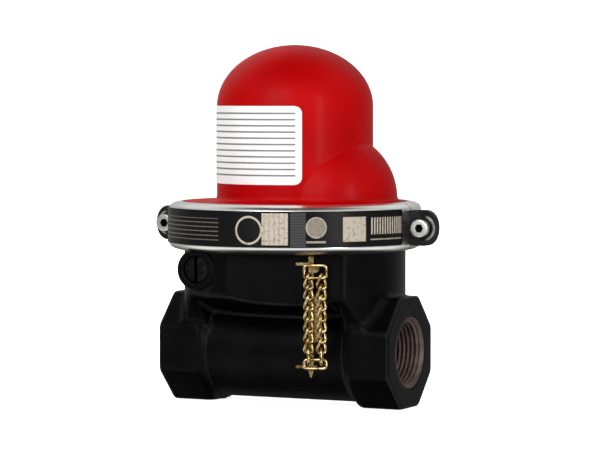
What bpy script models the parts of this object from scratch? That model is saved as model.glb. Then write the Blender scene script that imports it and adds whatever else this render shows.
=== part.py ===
"""Earthquake shutoff valve for a 3/4-inch gas pipe, as an assembly of its separate pieces.

The frame has +X along the pipe towards the inlet, +Z up, and its origin below the middle of the
body. The valve stands armed: the ball is on its pedestal and the flapper is held off its seat.
"""

import math

import bmesh
import bpy
from mathutils import Matrix, Vector

# All sizes are in metres and all angles in radians.
GAP = 0.0003
THIN_GAP = 0.00015
ROUND_STEPS = 48
SMALL_STEPS = 20

# The cast body: a pipe run with eight-sided ends, and a round neck standing on it.
BODY_LENGTH = 0.1016
END_FLATS = 0.0444
END_LENGTH = 0.0193
END_TAPER = 0.0028
END_CHAMFER = 0.0010
BARREL_RADIUS = 0.0206
BORE_RADIUS = 0.01225
BORE_DEPTH = 0.0165
BORE_CHAMFER = 0.0013
PASSAGE_RADIUS = 0.0108
NECK_INSET = 0.0016
NECK_BOTTOM = 0.0460
NECK_EDGE = 0.0012
UNDERSIDE_DEPTH = 0.0100
UNDERSIDE_LENGTH_SHARE = 0.80
UNDERSIDE_WIDTH_SHARE = 0.30
FACET_DEPTH = 0.0063
FACET_TURN = math.radians(19.5)
WEB_INSIDE = 0.0305
WEB_HALF_WIDTH = 0.0300
WEB_STEP_IN = 0.0001
WEB_FOOT_HALF_WIDTH = 0.0226
WEB_FOOT = 0.0352
CHAMBER_WALL = 0.0035
CHAMBER_RISE = 0.0278
CHAMBER_DEPTH = 0.0203
RISER_PLACE = 0.0262
RISER_RADIUS = 0.0080

# The stack of flanges that the band clamp holds together.
FLANGE_RADIUS = 0.0498
FLANGE_LAND = 0.0034
CARRIER_INSET = 0.0013
CARRIER_THICKNESS = 0.0015
GASKET_THICKNESS = 0.0010
GASKET_INSET = 0.0008
GASKET_WIDTH = 0.0068

# The cap: a tall dome over the ball, with a round lobe over the side that the ball rolls to.
CAP_FLANGE_RISE = 0.0100
CAP_FLANGE_EDGE = 0.0008
CAP_WALL = 0.0018
CAP_FILLET = 0.0014
DOME_RADIUS = 0.0316
DOME_SHOULDER_RISE = 0.0480
DOME_CROWN = 0.0248
LOBE_RADIUS = 0.0273
LOBE_EDGE = 0.0037
LOBE_CENTRE_RISE = 0.0110

# The band clamp, two halves of a V-shaped channel with lugs for the screws.
BAND_CLEARANCE = 0.0004
BAND_SHEET = 0.0008
BAND_HALF_HEIGHT = 0.0080
BAND_LEG = 0.0042
BAND_LEG_RISE = 0.0014
LUG_STAND = 0.0116
LUG_HEIGHT = 0.0142
LUG_SHEET = 0.0016
LUG_CORNER = 0.0060
SCREW_STAND = 0.0060
SCREW_RADIUS = 0.0020
SCREW_LENGTH = 0.0124
SCREW_HEAD_RADIUS = 0.0036
SCREW_HEAD_HEIGHT = 0.0030
SCREW_SOCKET_FLATS = 0.0030
SCREW_SOCKET_DEPTH = 0.0020
WASHER_RADIUS = 0.0042
WASHER_THICKNESS = 0.0008
NUT_FLATS = 0.0070
NUT_HEIGHT = 0.0032
STRIP_HEIGHT = 0.0134
STRIP_THICKNESS = 0.0004
STRIP_HALF_TURN = math.radians(81)

# The seat and the flapper that closes on it.
SEAT_BORE = 0.0096
SEAT_RADIUS = 0.0125
SEAT_DEPTH = 0.0032
SEAT_LIP = 0.0023
SEAT_LIP_INNER = 0.0104
SEAT_LIP_OUTER = 0.0112
SHAFT_PLACE = -0.0235
SHAFT_DROP = 0.0011
SHAFT_RADIUS = 0.0030
ARMED_TILT = math.radians(15)
SEAL_RADIUS = 0.0122
SEAL_THICKNESS = 0.0018
DISC_THICKNESS = 0.0017
DISC_RIM = 0.0011
DISC_RIM_DROP = 0.0013
ARM_THICKNESS = 0.0023
ARM_WIDTH = 0.0130
ARM_FORK_HALF_WIDTH = 0.0098
HUB_ROUND = 0.0052
FLAPPER_SCREW_RADIUS = 0.0020
FLAPPER_SCREW_HEAD = 0.0036
FLAPPER_SCREW_HEAD_HEIGHT = 0.0018
RETAINER_RADIUS = 0.0050
RETAINER_THICKNESS = 0.0013

# The reset shaft's boss on the outside, and what seals and guides the shaft.
BOSS_RADIUS = 0.0081
BOSS_SUNK = 0.0024
RESET_RECESS_RADIUS = 0.0054
RESET_RECESS_DEPTH = 0.0034
RESET_HEAD_HEIGHT = 0.0024
RESET_SLOT_WIDTH = 0.0014
RESET_SLOT_DEPTH = 0.0012
BEARING_HOLE_RADIUS = 0.0049
RING_WIRE = 0.0013
RING_SEAT_LENGTH = 0.0022
FRONT_BUSHING_LENGTH = 0.0105
REAR_BUSHING_LENGTH = 0.0062
REAR_WALL = 0.0021
SPRING_WIRE = 0.0009
SPRING_PITCH = 0.0014
SPRING_TURNS = 4

# The trip: a ball on a pedestal, and a ring round the pedestal that the falling ball pushes down.
BALL_RADIUS = 0.0110
DISH_RADIUS = 0.0040
DISH_DEPTH = 0.0011
DISH_RISE = 0.0280
DISH_FLARE = 0.0060
COLUMN_RADIUS = 0.0026
STUD_RADIUS = 0.0029
CARRIER_HUB_RADIUS = 0.0070
CARRIER_HUB_HEIGHT = 0.0050
PEDESTAL_NUT_FLATS = 0.0100
PEDESTAL_NUT_HEIGHT = 0.0036
TRIP_RISE = 0.0160
TRIP_INNER_RADIUS = 0.0160
TRIP_OUTER_RADIUS = 0.0185
TRIP_SHEET = 0.0016
STRAP_WIDTH = 0.0054
WINDOW_MARGIN = 0.0014

# The doubled brass chain on the front, with the pointed key that hangs behind it.
ANCHOR_SIDE_PLACE = 0.0124
ANCHOR_DROP = 0.0136
ANCHOR_RADIUS = 0.0007
ANCHOR_HEAD_RADIUS = 0.0012
ANCHOR_HEAD_HEIGHT = 0.0007
ANCHOR_DEPTH = 0.0026
LINK_WIRE = 0.0013
LINK_WIDTH = 0.0047
LINK_PITCH = 0.0042
LINKS_IN_STRAND = 8
LINK_PLAY = 0.00055
LINK_TURN = math.radians(45)
STRAND_SPACING = 0.0050
RING_CORNER = 0.0007
KEY_THICKNESS = 0.0009
KEY_WIDTH = 0.0020
KEY_PLACE = -0.0019
KEY_TOP = 0.0048
KEY_TIP = 0.0426
KEY_POINT = 0.0046
KEY_BAR = 0.0011
KEY_BAR_REACH = 0.0060
KEY_SHORT_REACH = 0.0024
KEY_UPPER_BAR = 0.0019
KEY_LOWER_BAR = 0.0384
KEY_GRIP_REACH = 0.0042
KEY_GRIP_TOP = 0.0100
KEY_GRIP_FOOT = 0.0290

# Heights and places that follow from the sizes above.
PIPE_HEIGHT = END_FLATS / 2
CHAMBER_FLOOR = PIPE_HEIGHT + CHAMBER_RISE
BODY_TOP = CHAMBER_FLOOR + CHAMBER_DEPTH
HUB_RADIUS = FLANGE_RADIUS - FLANGE_LAND
NECK_RADIUS = HUB_RADIUS - NECK_INSET
FACET_REACH = NECK_RADIUS - FACET_DEPTH
CHAMBER_RADIUS = FACET_REACH - CHAMBER_WALL
CARRIER_RADIUS = FLANGE_RADIUS - CARRIER_INSET
GASKET_OUTER_RADIUS = FLANGE_RADIUS - GASKET_INSET
GASKET_INNER_RADIUS = GASKET_OUTER_RADIUS - GASKET_WIDTH
CARRIER_BOTTOM = BODY_TOP + GAP
CARRIER_TOP = CARRIER_BOTTOM + CARRIER_THICKNESS
GASKET_BOTTOM = CARRIER_TOP + GAP
CAP_BOTTOM = GASKET_BOTTOM + GASKET_THICKNESS + GAP
BAND_HEIGHT = (BODY_TOP + CAP_BOTTOM) / 2
BAND_RADIUS = FLANGE_RADIUS + BAND_CLEARANCE + BAND_SHEET
BAND_LEG_RADIUS = BAND_RADIUS - BAND_LEG
LUG_REACH = BAND_RADIUS + LUG_STAND
SCREW_PLACE = BAND_RADIUS + SCREW_STAND
CAP_FLANGE_TOP = BAND_HEIGHT + CAP_FLANGE_RISE
DOME_SHOULDER = BAND_HEIGHT + DOME_SHOULDER_RISE
LOBE_PLACE = HUB_RADIUS - LOBE_EDGE - LOBE_RADIUS
LOBE_CENTRE_HEIGHT = BAND_HEIGHT + LOBE_CENTRE_RISE
DISH_HEIGHT = BAND_HEIGHT + DISH_RISE
TRIP_HEIGHT = BAND_HEIGHT + TRIP_RISE
SEAT_TOP = CHAMBER_FLOOR + SEAT_LIP
SEAL_BOTTOM = SEAT_TOP + GAP
DISC_BOTTOM = SEAL_BOTTOM + SEAL_THICKNESS + GAP
DISC_TOP = DISC_BOTTOM + DISC_THICKNESS
ARM_BOTTOM = DISC_TOP + GAP
ARM_TOP = ARM_BOTTOM + ARM_THICKNESS
SHAFT_HEIGHT = ARM_BOTTOM - SHAFT_DROP
RUNNING_RADIUS = SHAFT_RADIUS + GAP
BOSS_FACE = NECK_RADIUS - BOSS_SUNK
REAR_HOLE_END = math.sqrt(NECK_RADIUS**2 - (SHAFT_PLACE - BEARING_HOLE_RADIUS) ** 2) - REAR_WALL
REAR_BUSHING_FRONT = REAR_HOLE_END - GAP - REAR_BUSHING_LENGTH
SPRING_PLACE = (ARM_FORK_HALF_WIDTH + REAR_BUSHING_FRONT - SPRING_TURNS * SPRING_PITCH) / 2
ANCHOR_HEIGHT = BODY_TOP - ANCHOR_DROP
LINK_HALF_DEPTH = LINK_WIDTH / 2
KEY_FRONT = LINK_HALF_DEPTH + GAP
KEY_BACK = KEY_FRONT + KEY_THICKNESS
CHAIN_STAND = KEY_BACK + GAP
CHAIN_REACH = FACET_REACH + CHAIN_STAND


def clear_scene():
    """Removes what the file opened with."""
    for thing in list(bpy.data.objects):
        bpy.data.objects.remove(thing, do_unlink=True)


def finish(name, colour, roughness, metallic):
    """A plain Principled material, made once for each name."""
    found = bpy.data.materials.get(name)
    if found:
        return found
    made = bpy.data.materials.new(name)
    made.use_nodes = True
    shader = made.node_tree.nodes["Principled BSDF"]
    shader.inputs["Base Color"].default_value = (*colour, 1.0)
    shader.inputs["Roughness"].default_value = roughness
    shader.inputs["Metallic"].default_value = metallic
    made.diffuse_color = (*colour, 1.0)
    return made


def cast_black():
    return finish("black_cast_iron", (0.012, 0.012, 0.013), 0.45, 0.0)


def red_paint():
    return finish("red_paint", (0.42, 0.004, 0.006), 0.28, 0.0)


def band_steel():
    return finish("band_steel", (0.62, 0.62, 0.58), 0.30, 1.0)


def zinc():
    return finish("zinc_steel", (0.55, 0.55, 0.53), 0.35, 1.0)


def ball_steel():
    return finish("ball_steel", (0.70, 0.70, 0.70), 0.12, 1.0)


def brass():
    return finish("brass", (0.60, 0.42, 0.16), 0.28, 1.0)


def rubber():
    return finish("black_rubber", (0.02, 0.02, 0.02), 0.75, 0.0)


def plate_black():
    return finish("plate_black", (0.01, 0.01, 0.01), 0.40, 0.0)


def object_from(name, shape, material=None, parent=None):
    """A mesh object from a bmesh, with its faces turned outwards and round sides shaded smooth."""
    bmesh.ops.remove_doubles(shape, verts=shape.verts, dist=1e-7)
    bmesh.ops.recalc_face_normals(shape, faces=shape.faces)
    mesh = bpy.data.meshes.new(name)
    shape.to_mesh(mesh)
    shape.free()
    mesh.shade_smooth()
    mesh.set_sharp_from_angle(angle=math.radians(35))
    made = bpy.data.objects.new(name, mesh)
    bpy.context.scene.collection.objects.link(made)
    if material:
        mesh.materials.append(material)
    made.parent = parent
    return made


def helper(made):
    """Marks an object as a cutter or a guide, which isn't a piece of the valve."""
    made.hide_render = True
    made.display_type = "WIRE"
    return made


def combine(piece, tool, operation):
    """Cuts, joins or crosses a piece with a tool, which becomes a helper."""
    step = piece.modifiers.new(tool.name, "BOOLEAN")
    step.operation = operation
    step.solver = "EXACT"
    step.object = helper(tool)
    return piece


def cut(piece, tool):
    return combine(piece, tool, "DIFFERENCE")


def join(piece, tool):
    return combine(piece, tool, "UNION")


def empty(name, place, turn=(0.0, 0.0, 0.0)):
    """A guide that carries the pieces of one moving body."""
    made = bpy.data.objects.new(name, None)
    made.empty_display_size = 0.01
    made.location = place
    made.rotation_euler = turn
    bpy.context.scene.collection.objects.link(made)
    return made


def turned(name, profile, steps, material=None, parent=None, axis="Z"):
    """Turns an outline of (radius, height) points round an axis. Points on the axis become poles."""
    shape = bmesh.new()
    corners = [shape.verts.new((radius, 0.0, height)) for radius, height in profile]
    pairs = list(zip(corners, corners[1:]))
    if profile[0][0] > 0 and profile[-1][0] > 0:
        pairs.append((corners[-1], corners[0]))
    edges = [shape.edges.new(pair) for pair in pairs]
    bmesh.ops.spin(
        shape,
        geom=corners + edges,
        cent=(0, 0, 0),
        axis=(0, 0, 1),
        angle=2 * math.pi,
        steps=steps,
        use_merge=True,
    )
    if axis == "X":
        bmesh.ops.rotate(shape, verts=shape.verts, matrix=Matrix.Rotation(math.pi / 2, 3, "Y"))
    if axis == "Y":
        bmesh.ops.rotate(shape, verts=shape.verts, matrix=Matrix.Rotation(-math.pi / 2, 3, "X"))
    return object_from(name, shape, material, parent)


def rod(name, radius, start, end, steps=SMALL_STEPS, axis="Z", material=None, parent=None):
    """A round bar between two heights along an axis."""
    outline = [(0.0, start), (radius, start), (radius, end), (0.0, end)]
    return turned(name, outline, steps, material, parent, axis)


def ring(name, inner, outer, start, end, steps=SMALL_STEPS, axis="Z", material=None, parent=None):
    """A flat ring or a sleeve between two heights along an axis."""
    outline = [(inner, start), (outer, start), (outer, end), (inner, end)]
    return turned(name, outline, steps, material, parent, axis)


def lofted(name, rings, material=None, parent=None):
    """Skins a row of loops with as many points each, and caps both ends."""
    shape = bmesh.new()
    rows = [[shape.verts.new(point) for point in loop] for loop in rings]
    count = len(rows[0])
    for low, high in zip(rows, rows[1:]):
        for k in range(count):
            after = (k + 1) % count
            shape.faces.new((low[k], low[after], high[after], high[k]))
    shape.faces.new(rows[0])
    shape.faces.new(rows[-1])
    return object_from(name, shape, material, parent)


def prism(name, outline, start, end, axis="Z", material=None, parent=None):
    """An outline of two coordinates carried straight along the third axis."""
    orders = {
        "X": lambda a, b, c: (c, a, b),
        "Y": lambda a, b, c: (a, c, b),
        "Z": lambda a, b, c: (a, b, c),
    }
    place = orders[axis]
    loops = [[place(a, b, along) for a, b in outline] for along in (start, end)]
    return lofted(name, loops, material, parent)


def box(name, low, high, material=None, parent=None):
    """A block between two corners."""
    outline = [(low[0], low[1]), (high[0], low[1]), (high[0], high[1]), (low[0], high[1])]
    return prism(name, outline, low[2], high[2], "Z", material, parent)


def hexagon(flats):
    """The six corners of a nut or a hex socket, two of its flats upright."""
    reach = flats / math.sqrt(3)
    return [
        (reach * math.cos(math.pi / 6 + k * math.pi / 3), reach * math.sin(math.pi / 6 + k * math.pi / 3))
        for k in range(6)
    ]


def rounded_box_outline(low, high, corner, steps=5):
    """A rectangle with round corners, from its lowest to its highest corner."""
    outline = []
    centres = [
        (high[0] - corner, high[1] - corner, 0),
        (low[0] + corner, high[1] - corner, 1),
        (low[0] + corner, low[1] + corner, 2),
        (high[0] - corner, low[1] + corner, 3),
    ]
    for centre_a, centre_b, quarter in centres:
        for k in range(steps + 1):
            angle = (quarter + k / steps) * math.pi / 2
            outline.append((centre_a + corner * math.cos(angle), centre_b + corner * math.sin(angle)))
    return outline


def land_half_height(radius):
    """Half the height of the clamped flanges at a radius, one gap inside the clamp's legs."""
    inside = BAND_RADIUS - BAND_SHEET
    slope = BAND_LEG_RISE / (inside - BAND_LEG_RADIUS)
    return BAND_HALF_HEIGHT - BAND_SHEET + slope * (inside - radius) - GAP


# The cast body.


def pipe_run():
    """The barrel and both eight-sided ends, as one skin from end to end."""
    steps = 48
    half = BODY_LENGTH / 2
    stations = [
        (half, END_CHAMFER, 0.0),
        (half - END_CHAMFER, 0.0, 0.0),
        (half - END_LENGTH, 0.0, 0.0),
        (half - END_LENGTH - END_TAPER / 2, 0.0, 0.75),
        (half - END_LENGTH - END_TAPER, 0.0, 1.0),
    ]
    rows = [(-along, inset, share) for along, inset, share in stations] + stations[::-1]
    loops = []
    for along, inset, share in rows:
        loop = []
        for k in range(steps):
            angle = 2 * math.pi * k / steps
            turn = (angle + math.pi / 8) % (math.pi / 4) - math.pi / 8
            eight_sided = (END_FLATS / 2 - inset) / math.cos(turn)
            radius = (1 - share) * eight_sided + share * BARREL_RADIUS
            loop.append((along, radius * math.cos(angle), PIPE_HEIGHT + radius * math.sin(angle)))
        loops.append(loop)
    return lofted("body_casting", loops, cast_black())


def neck():
    """The round neck with its flange, and the underside that draws in to the barrel."""
    inner = NECK_RADIUS - NECK_EDGE
    foot = NECK_BOTTOM - UNDERSIDE_DEPTH
    flange_low = BAND_HEIGHT - land_half_height(FLANGE_RADIUS)
    hub_low = BAND_HEIGHT - land_half_height(HUB_RADIUS)
    rows = [
        (foot, inner * UNDERSIDE_LENGTH_SHARE, inner * UNDERSIDE_WIDTH_SHARE),
        (NECK_BOTTOM, inner, inner),
        (NECK_BOTTOM + NECK_EDGE, NECK_RADIUS, NECK_RADIUS),
        (hub_low - NECK_EDGE, NECK_RADIUS, NECK_RADIUS),
        (hub_low, HUB_RADIUS, HUB_RADIUS),
        (flange_low, FLANGE_RADIUS, FLANGE_RADIUS),
        (BODY_TOP, FLANGE_RADIUS, FLANGE_RADIUS),
    ]
    loops = [
        [
            (
                long * math.cos(2 * math.pi * k / ROUND_STEPS),
                wide * math.sin(2 * math.pi * k / ROUND_STEPS),
                height,
            )
            for k in range(ROUND_STEPS)
        ]
        for height, long, wide in rows
    ]
    made = lofted("neck", loops)
    normal = Vector((math.sin(FACET_TURN), -math.cos(FACET_TURN), 0.0))
    facet = box(
        "facet_cutter",
        (-NECK_RADIUS, -NECK_RADIUS, NECK_BOTTOM - UNDERSIDE_DEPTH),
        (NECK_RADIUS, 0.0, hub_low - NECK_EDGE),
    )
    facet.location = FACET_REACH * normal
    facet.rotation_euler = (0.0, 0.0, FACET_TURN)
    return cut(made, facet)


def end_web(name, side):
    """The neck's wall carried down onto one eight-sided end."""
    outline = [
        (-WEB_HALF_WIDTH, CHAMBER_FLOOR - NECK_EDGE),
        (-WEB_HALF_WIDTH, NECK_BOTTOM),
        (-WEB_FOOT_HALF_WIDTH, WEB_FOOT),
        (-BORE_RADIUS, PIPE_HEIGHT + BORE_RADIUS / 2),
        (BORE_RADIUS, PIPE_HEIGHT + BORE_RADIUS / 2),
        (WEB_FOOT_HALF_WIDTH, WEB_FOOT),
        (WEB_HALF_WIDTH, NECK_BOTTOM),
        (WEB_HALF_WIDTH, CHAMBER_FLOOR - NECK_EDGE),
    ]
    block = prism(name, outline, side * WEB_INSIDE, side * BODY_LENGTH / 2, "X")
    limit = rod(name + "_limit", NECK_RADIUS - WEB_STEP_IN, 0.0, BODY_TOP, ROUND_STEPS)
    return combine(block, limit, "INTERSECT")


def port_cutter(name, side, elbow):
    """One pipe port: a mouth with a chamfer, the threaded bore, and the passage to its elbow."""
    half = BODY_LENGTH / 2
    outline = [
        (0.0, half + GAP),
        (BORE_RADIUS + BORE_CHAMFER + GAP, half + GAP),
        (BORE_RADIUS, half - BORE_CHAMFER),
        (BORE_RADIUS, half - BORE_DEPTH),
        (PASSAGE_RADIUS, half - BORE_DEPTH - (BORE_RADIUS - PASSAGE_RADIUS)),
        (PASSAGE_RADIUS, side * elbow),
    ]
    for k in range(1, 7):
        angle = k * math.pi / 12
        outline.append((PASSAGE_RADIUS * math.cos(angle), side * elbow - PASSAGE_RADIUS * math.sin(angle)))
    outline[-1] = (0.0, outline[-1][1])
    made = turned(name, outline, 24, axis="X")
    made.location = (0.0, 0.0, PIPE_HEIGHT)
    made.rotation_euler = (0.0, 0.0, 0.0 if side > 0 else math.pi)
    return made


def body_casting():
    """Joins the run, neck, webs and boss, then opens the flow path and the holes for the shaft."""
    body = pipe_run()
    join(body, neck())
    join(body, end_web("inlet_web", 1))
    join(body, end_web("outlet_web", -1))
    boss = rod("reset_boss", BOSS_RADIUS, -BOSS_FACE, -CHAMBER_RADIUS * 0.85, 32, "Y")
    boss.location = (SHAFT_PLACE, 0.0, SHAFT_HEIGHT)
    clamp_foot = BAND_HEIGHT - BAND_HALF_HEIGHT - BAND_LEG_RISE - GAP
    under_clamp = box(
        "boss_top_cutter",
        (SHAFT_PLACE - 2 * BOSS_RADIUS, -BOSS_FACE - GAP, clamp_foot),
        (SHAFT_PLACE + 2 * BOSS_RADIUS, 0.0, BODY_TOP),
    )
    join(body, cut(boss, under_clamp))
    chamber = rod("chamber_cutter", CHAMBER_RADIUS, CHAMBER_FLOOR, BAND_HEIGHT, ROUND_STEPS)
    cut(body, chamber)
    cut(body, port_cutter("inlet_cutter", 1, RISER_PLACE))
    cut(body, port_cutter("outlet_cutter", -1, 0.0))
    riser = rod("riser_cutter", RISER_RADIUS, PIPE_HEIGHT, CHAMBER_FLOOR + GAP, 32)
    riser.location = (RISER_PLACE, 0.0, 0.0)
    cut(body, riser)
    cut(body, rod("seat_passage_cutter", SEAT_BORE, PIPE_HEIGHT, CHAMBER_FLOOR + GAP, 32))
    pocket = rod(
        "seat_pocket_cutter",
        SEAT_RADIUS + GAP,
        CHAMBER_FLOOR - SEAT_DEPTH - GAP,
        CHAMBER_FLOOR + GAP,
        32,
    )
    cut(body, pocket)
    recess_end = -BOSS_FACE + RESET_RECESS_DEPTH
    shaft_hole = [
        (0.0, -BOSS_FACE - GAP),
        (RESET_RECESS_RADIUS, -BOSS_FACE - GAP),
        (RESET_RECESS_RADIUS, recess_end),
        (BEARING_HOLE_RADIUS, recess_end),
        (BEARING_HOLE_RADIUS, REAR_HOLE_END),
        (0.0, REAR_HOLE_END),
    ]
    drill = turned("shaft_hole_cutter", shaft_hole, 24, axis="Y")
    drill.location = (SHAFT_PLACE, 0.0, SHAFT_HEIGHT)
    cut(body, drill)
    stud = rod("anchor_hole_cutter", ANCHOR_RADIUS + GAP, -GAP, ANCHOR_DEPTH, 12, "Y")
    stud.location = facet_point(ANCHOR_SIDE_PLACE, FACET_REACH, ANCHOR_HEIGHT)
    stud.rotation_euler = (0.0, 0.0, FACET_TURN)
    cut(body, stud)
    return body


def facet_point(sideways, reach, height):
    """A point in front of the flat on the neck, from its place along the flat and its distance out."""
    along = Vector((math.cos(FACET_TURN), math.sin(FACET_TURN), 0.0))
    out = Vector((math.sin(FACET_TURN), -math.cos(FACET_TURN), 0.0))
    return sideways * along + reach * out + Vector((0.0, 0.0, height))


def seat_ring():
    """The brass seat pressed into the chamber floor, with the lip that the seal closes on."""
    low = CHAMBER_FLOOR - SEAT_DEPTH
    outline = [
        (SEAT_BORE, low),
        (SEAT_RADIUS, low),
        (SEAT_RADIUS, CHAMBER_FLOOR + SEAT_LIP / 3),
        (SEAT_LIP_OUTER, SEAT_TOP),
        (SEAT_LIP_INNER, SEAT_TOP),
        (SEAT_BORE, SEAT_TOP - SEAT_LIP / 3),
    ]
    turned("seat_ring", outline, 32, brass())


# The cap and what is clamped under it.


def dome_outline(inset, steps):
    """Half the dome's outline from its shoulder to its top, drawn in by a wall's thickness."""
    return [
        (
            (DOME_RADIUS - inset) * math.cos(k * math.pi / 2 / steps),
            DOME_SHOULDER + (DOME_CROWN - inset) * math.sin(k * math.pi / 2 / steps),
        )
        for k in range(steps)
    ] + [(0.0, DOME_SHOULDER + DOME_CROWN - inset)]


def lobe(name, inset, foot):
    """The lobe or its hollow: a round post with a half ball on top."""
    steps = 7
    radius = LOBE_RADIUS - inset
    outline = [(0.0, foot), (radius, foot)]
    for k in range(steps):
        angle = k * math.pi / 2 / steps
        outline.append((radius * math.cos(angle), LOBE_CENTRE_HEIGHT + radius * math.sin(angle)))
    outline.append((0.0, LOBE_CENTRE_HEIGHT + radius))
    made = turned(name, outline, 36)
    made.location = (LOBE_PLACE, 0.0, 0.0)
    return made


def dome_cap():
    """The red cap, a shell with a clamping flange."""
    flange_high = BAND_HEIGHT + land_half_height(FLANGE_RADIUS)
    hub_high = BAND_HEIGHT + land_half_height(HUB_RADIUS)
    outline = [
        (0.0, CAP_BOTTOM),
        (FLANGE_RADIUS, CAP_BOTTOM),
        (FLANGE_RADIUS, flange_high),
        (HUB_RADIUS, hub_high),
        (HUB_RADIUS, CAP_FLANGE_TOP - CAP_FLANGE_EDGE),
        (HUB_RADIUS - CAP_FLANGE_EDGE, CAP_FLANGE_TOP),
        (DOME_RADIUS + CAP_FILLET, CAP_FLANGE_TOP),
        (DOME_RADIUS + CAP_FILLET / 4, CAP_FLANGE_TOP + CAP_FILLET / 4),
        (DOME_RADIUS, CAP_FLANGE_TOP + CAP_FILLET),
    ] + dome_outline(0.0, 9)
    cap = turned("dome_cap", outline, ROUND_STEPS, red_paint())
    join(cap, lobe("lobe_outside", 0.0, CAP_BOTTOM + BAND_SHEET))
    hollow = [(0.0, BODY_TOP), (DOME_RADIUS - CAP_WALL, BODY_TOP)] + dome_outline(CAP_WALL, 7)
    cut(cap, turned("dome_hollow", hollow, 36))
    cut(cap, lobe("lobe_hollow", CAP_WALL, BODY_TOP - GAP))


def cap_gasket():
    """The flat gasket between the carrier plate and the cap."""
    ring(
        "cap_gasket",
        GASKET_INNER_RADIUS,
        GASKET_OUTER_RADIUS,
        GASKET_BOTTOM,
        GASKET_BOTTOM + GASKET_THICKNESS,
        ROUND_STEPS,
        material=rubber(),
    )


def strap_lean():
    """How far the trip strap moves sideways where it passes the carrier plate."""
    return (CARRIER_TOP - SHAFT_HEIGHT) * math.sin(ARMED_TILT)


def carrier_plate():
    """The plate across the neck that carries the pedestal, with a window for the trip strap."""
    hub_top = CARRIER_TOP + CARRIER_HUB_HEIGHT
    hole = STUD_RADIUS + GAP
    outline = [
        (hole, CARRIER_BOTTOM),
        (CARRIER_RADIUS, CARRIER_BOTTOM),
        (CARRIER_RADIUS, CARRIER_TOP),
        (CARRIER_HUB_RADIUS + CARRIER_THICKNESS, CARRIER_TOP),
        (CARRIER_HUB_RADIUS, CARRIER_TOP + CARRIER_THICKNESS),
        (CARRIER_HUB_RADIUS, hub_top),
        (hole, hub_top),
    ]
    plate = turned("carrier_plate", outline, 40, zinc())
    window = prism(
        "window_cutter",
        rounded_box_outline(
            (SHAFT_PLACE - TRIP_SHEET / 2 - WINDOW_MARGIN, -STRAP_WIDTH / 2 - WINDOW_MARGIN),
            (SHAFT_PLACE + strap_lean() + TRIP_SHEET + WINDOW_MARGIN, STRAP_WIDTH / 2 + WINDOW_MARGIN),
            WINDOW_MARGIN,
            3,
        ),
        CARRIER_BOTTOM - GAP,
        CARRIER_TOP + GAP,
    )
    cut(plate, window)


def pedestal():
    """The turned post whose dish holds the ball."""
    foot = CARRIER_BOTTOM + GAP
    shoulder = CARRIER_TOP + CARRIER_HUB_HEIGHT + 2 * GAP + PEDESTAL_NUT_HEIGHT
    outline = [
        (0.0, foot),
        (STUD_RADIUS, foot),
        (STUD_RADIUS, shoulder + GAP),
        (COLUMN_RADIUS, shoulder + GAP + (STUD_RADIUS - COLUMN_RADIUS)),
        (COLUMN_RADIUS, DISH_HEIGHT - DISH_FLARE),
        (COLUMN_RADIUS + 0.35 * (DISH_RADIUS - COLUMN_RADIUS), DISH_HEIGHT - DISH_FLARE / 2),
        (DISH_RADIUS, DISH_HEIGHT - DISH_FLARE / 8),
        (DISH_RADIUS, DISH_HEIGHT),
        (DISH_RADIUS / 2, DISH_HEIGHT - 0.75 * DISH_DEPTH),
        (0.0, DISH_HEIGHT - DISH_DEPTH),
    ]
    turned("pedestal", outline, 24, zinc())


def pedestal_nut():
    """The jam nut that locks the pedestal on the carrier plate."""
    low = CARRIER_TOP + CARRIER_HUB_HEIGHT + GAP
    high = low + PEDESTAL_NUT_HEIGHT
    nut = prism("pedestal_nut", hexagon(PEDESTAL_NUT_FLATS), low, high, material=zinc())
    cut(nut, rod("pedestal_nut_cutter", STUD_RADIUS + GAP, low - GAP, high + GAP))


# The band clamp.


def band_half(name, side):
    """One half of the clamp: a channel bent round the flanges, with a flat lug at each end."""
    wall_in = BAND_RADIUS - BAND_SHEET
    low = BAND_HEIGHT - BAND_HALF_HEIGHT
    high = BAND_HEIGHT + BAND_HALF_HEIGHT
    section = [
        (BAND_LEG_RADIUS, low - BAND_LEG_RISE),
        (BAND_RADIUS - BAND_SHEET / 2, low),
        (BAND_RADIUS, low + BAND_SHEET),
        (BAND_RADIUS, high - BAND_SHEET),
        (BAND_RADIUS - BAND_SHEET / 2, high),
        (BAND_LEG_RADIUS, high + BAND_LEG_RISE),
        (BAND_LEG_RADIUS, high + BAND_LEG_RISE - BAND_SHEET),
        (wall_in, high - BAND_SHEET),
        (wall_in, low + BAND_SHEET),
        (BAND_LEG_RADIUS, low - BAND_LEG_RISE + BAND_SHEET),
    ]
    steps = 30
    start = math.asin(GAP / 2 / BAND_LEG_RADIUS)
    loops = []
    for k in range(steps + 1):
        angle = start + (math.pi - 2 * start) * k / steps
        loops.append(
            [(r * math.cos(angle), side * r * math.sin(angle), height) for r, height in section]
        )
    half = lofted(name, loops, band_steel())
    for end in (-1, 1):
        near, far = sorted((end * (BAND_RADIUS - BAND_SHEET / 2), end * LUG_REACH))
        outline = rounded_box_outline(
            (near, BAND_HEIGHT - LUG_HEIGHT / 2),
            (far, BAND_HEIGHT + LUG_HEIGHT / 2),
            LUG_CORNER,
        )
        tag = f"{name}_lug_{'right' if end > 0 else 'left'}"
        lug = prism(tag, outline, side * GAP / 2, side * (GAP / 2 + LUG_SHEET), "Y")
        join(half, lug)
        hole = rod(tag + "_hole", SCREW_RADIUS + GAP, -LUG_SHEET * 2, LUG_SHEET * 2, axis="Y")
        hole.location = (end * SCREW_PLACE, 0.0, BAND_HEIGHT)
        cut(half, hole)


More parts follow.
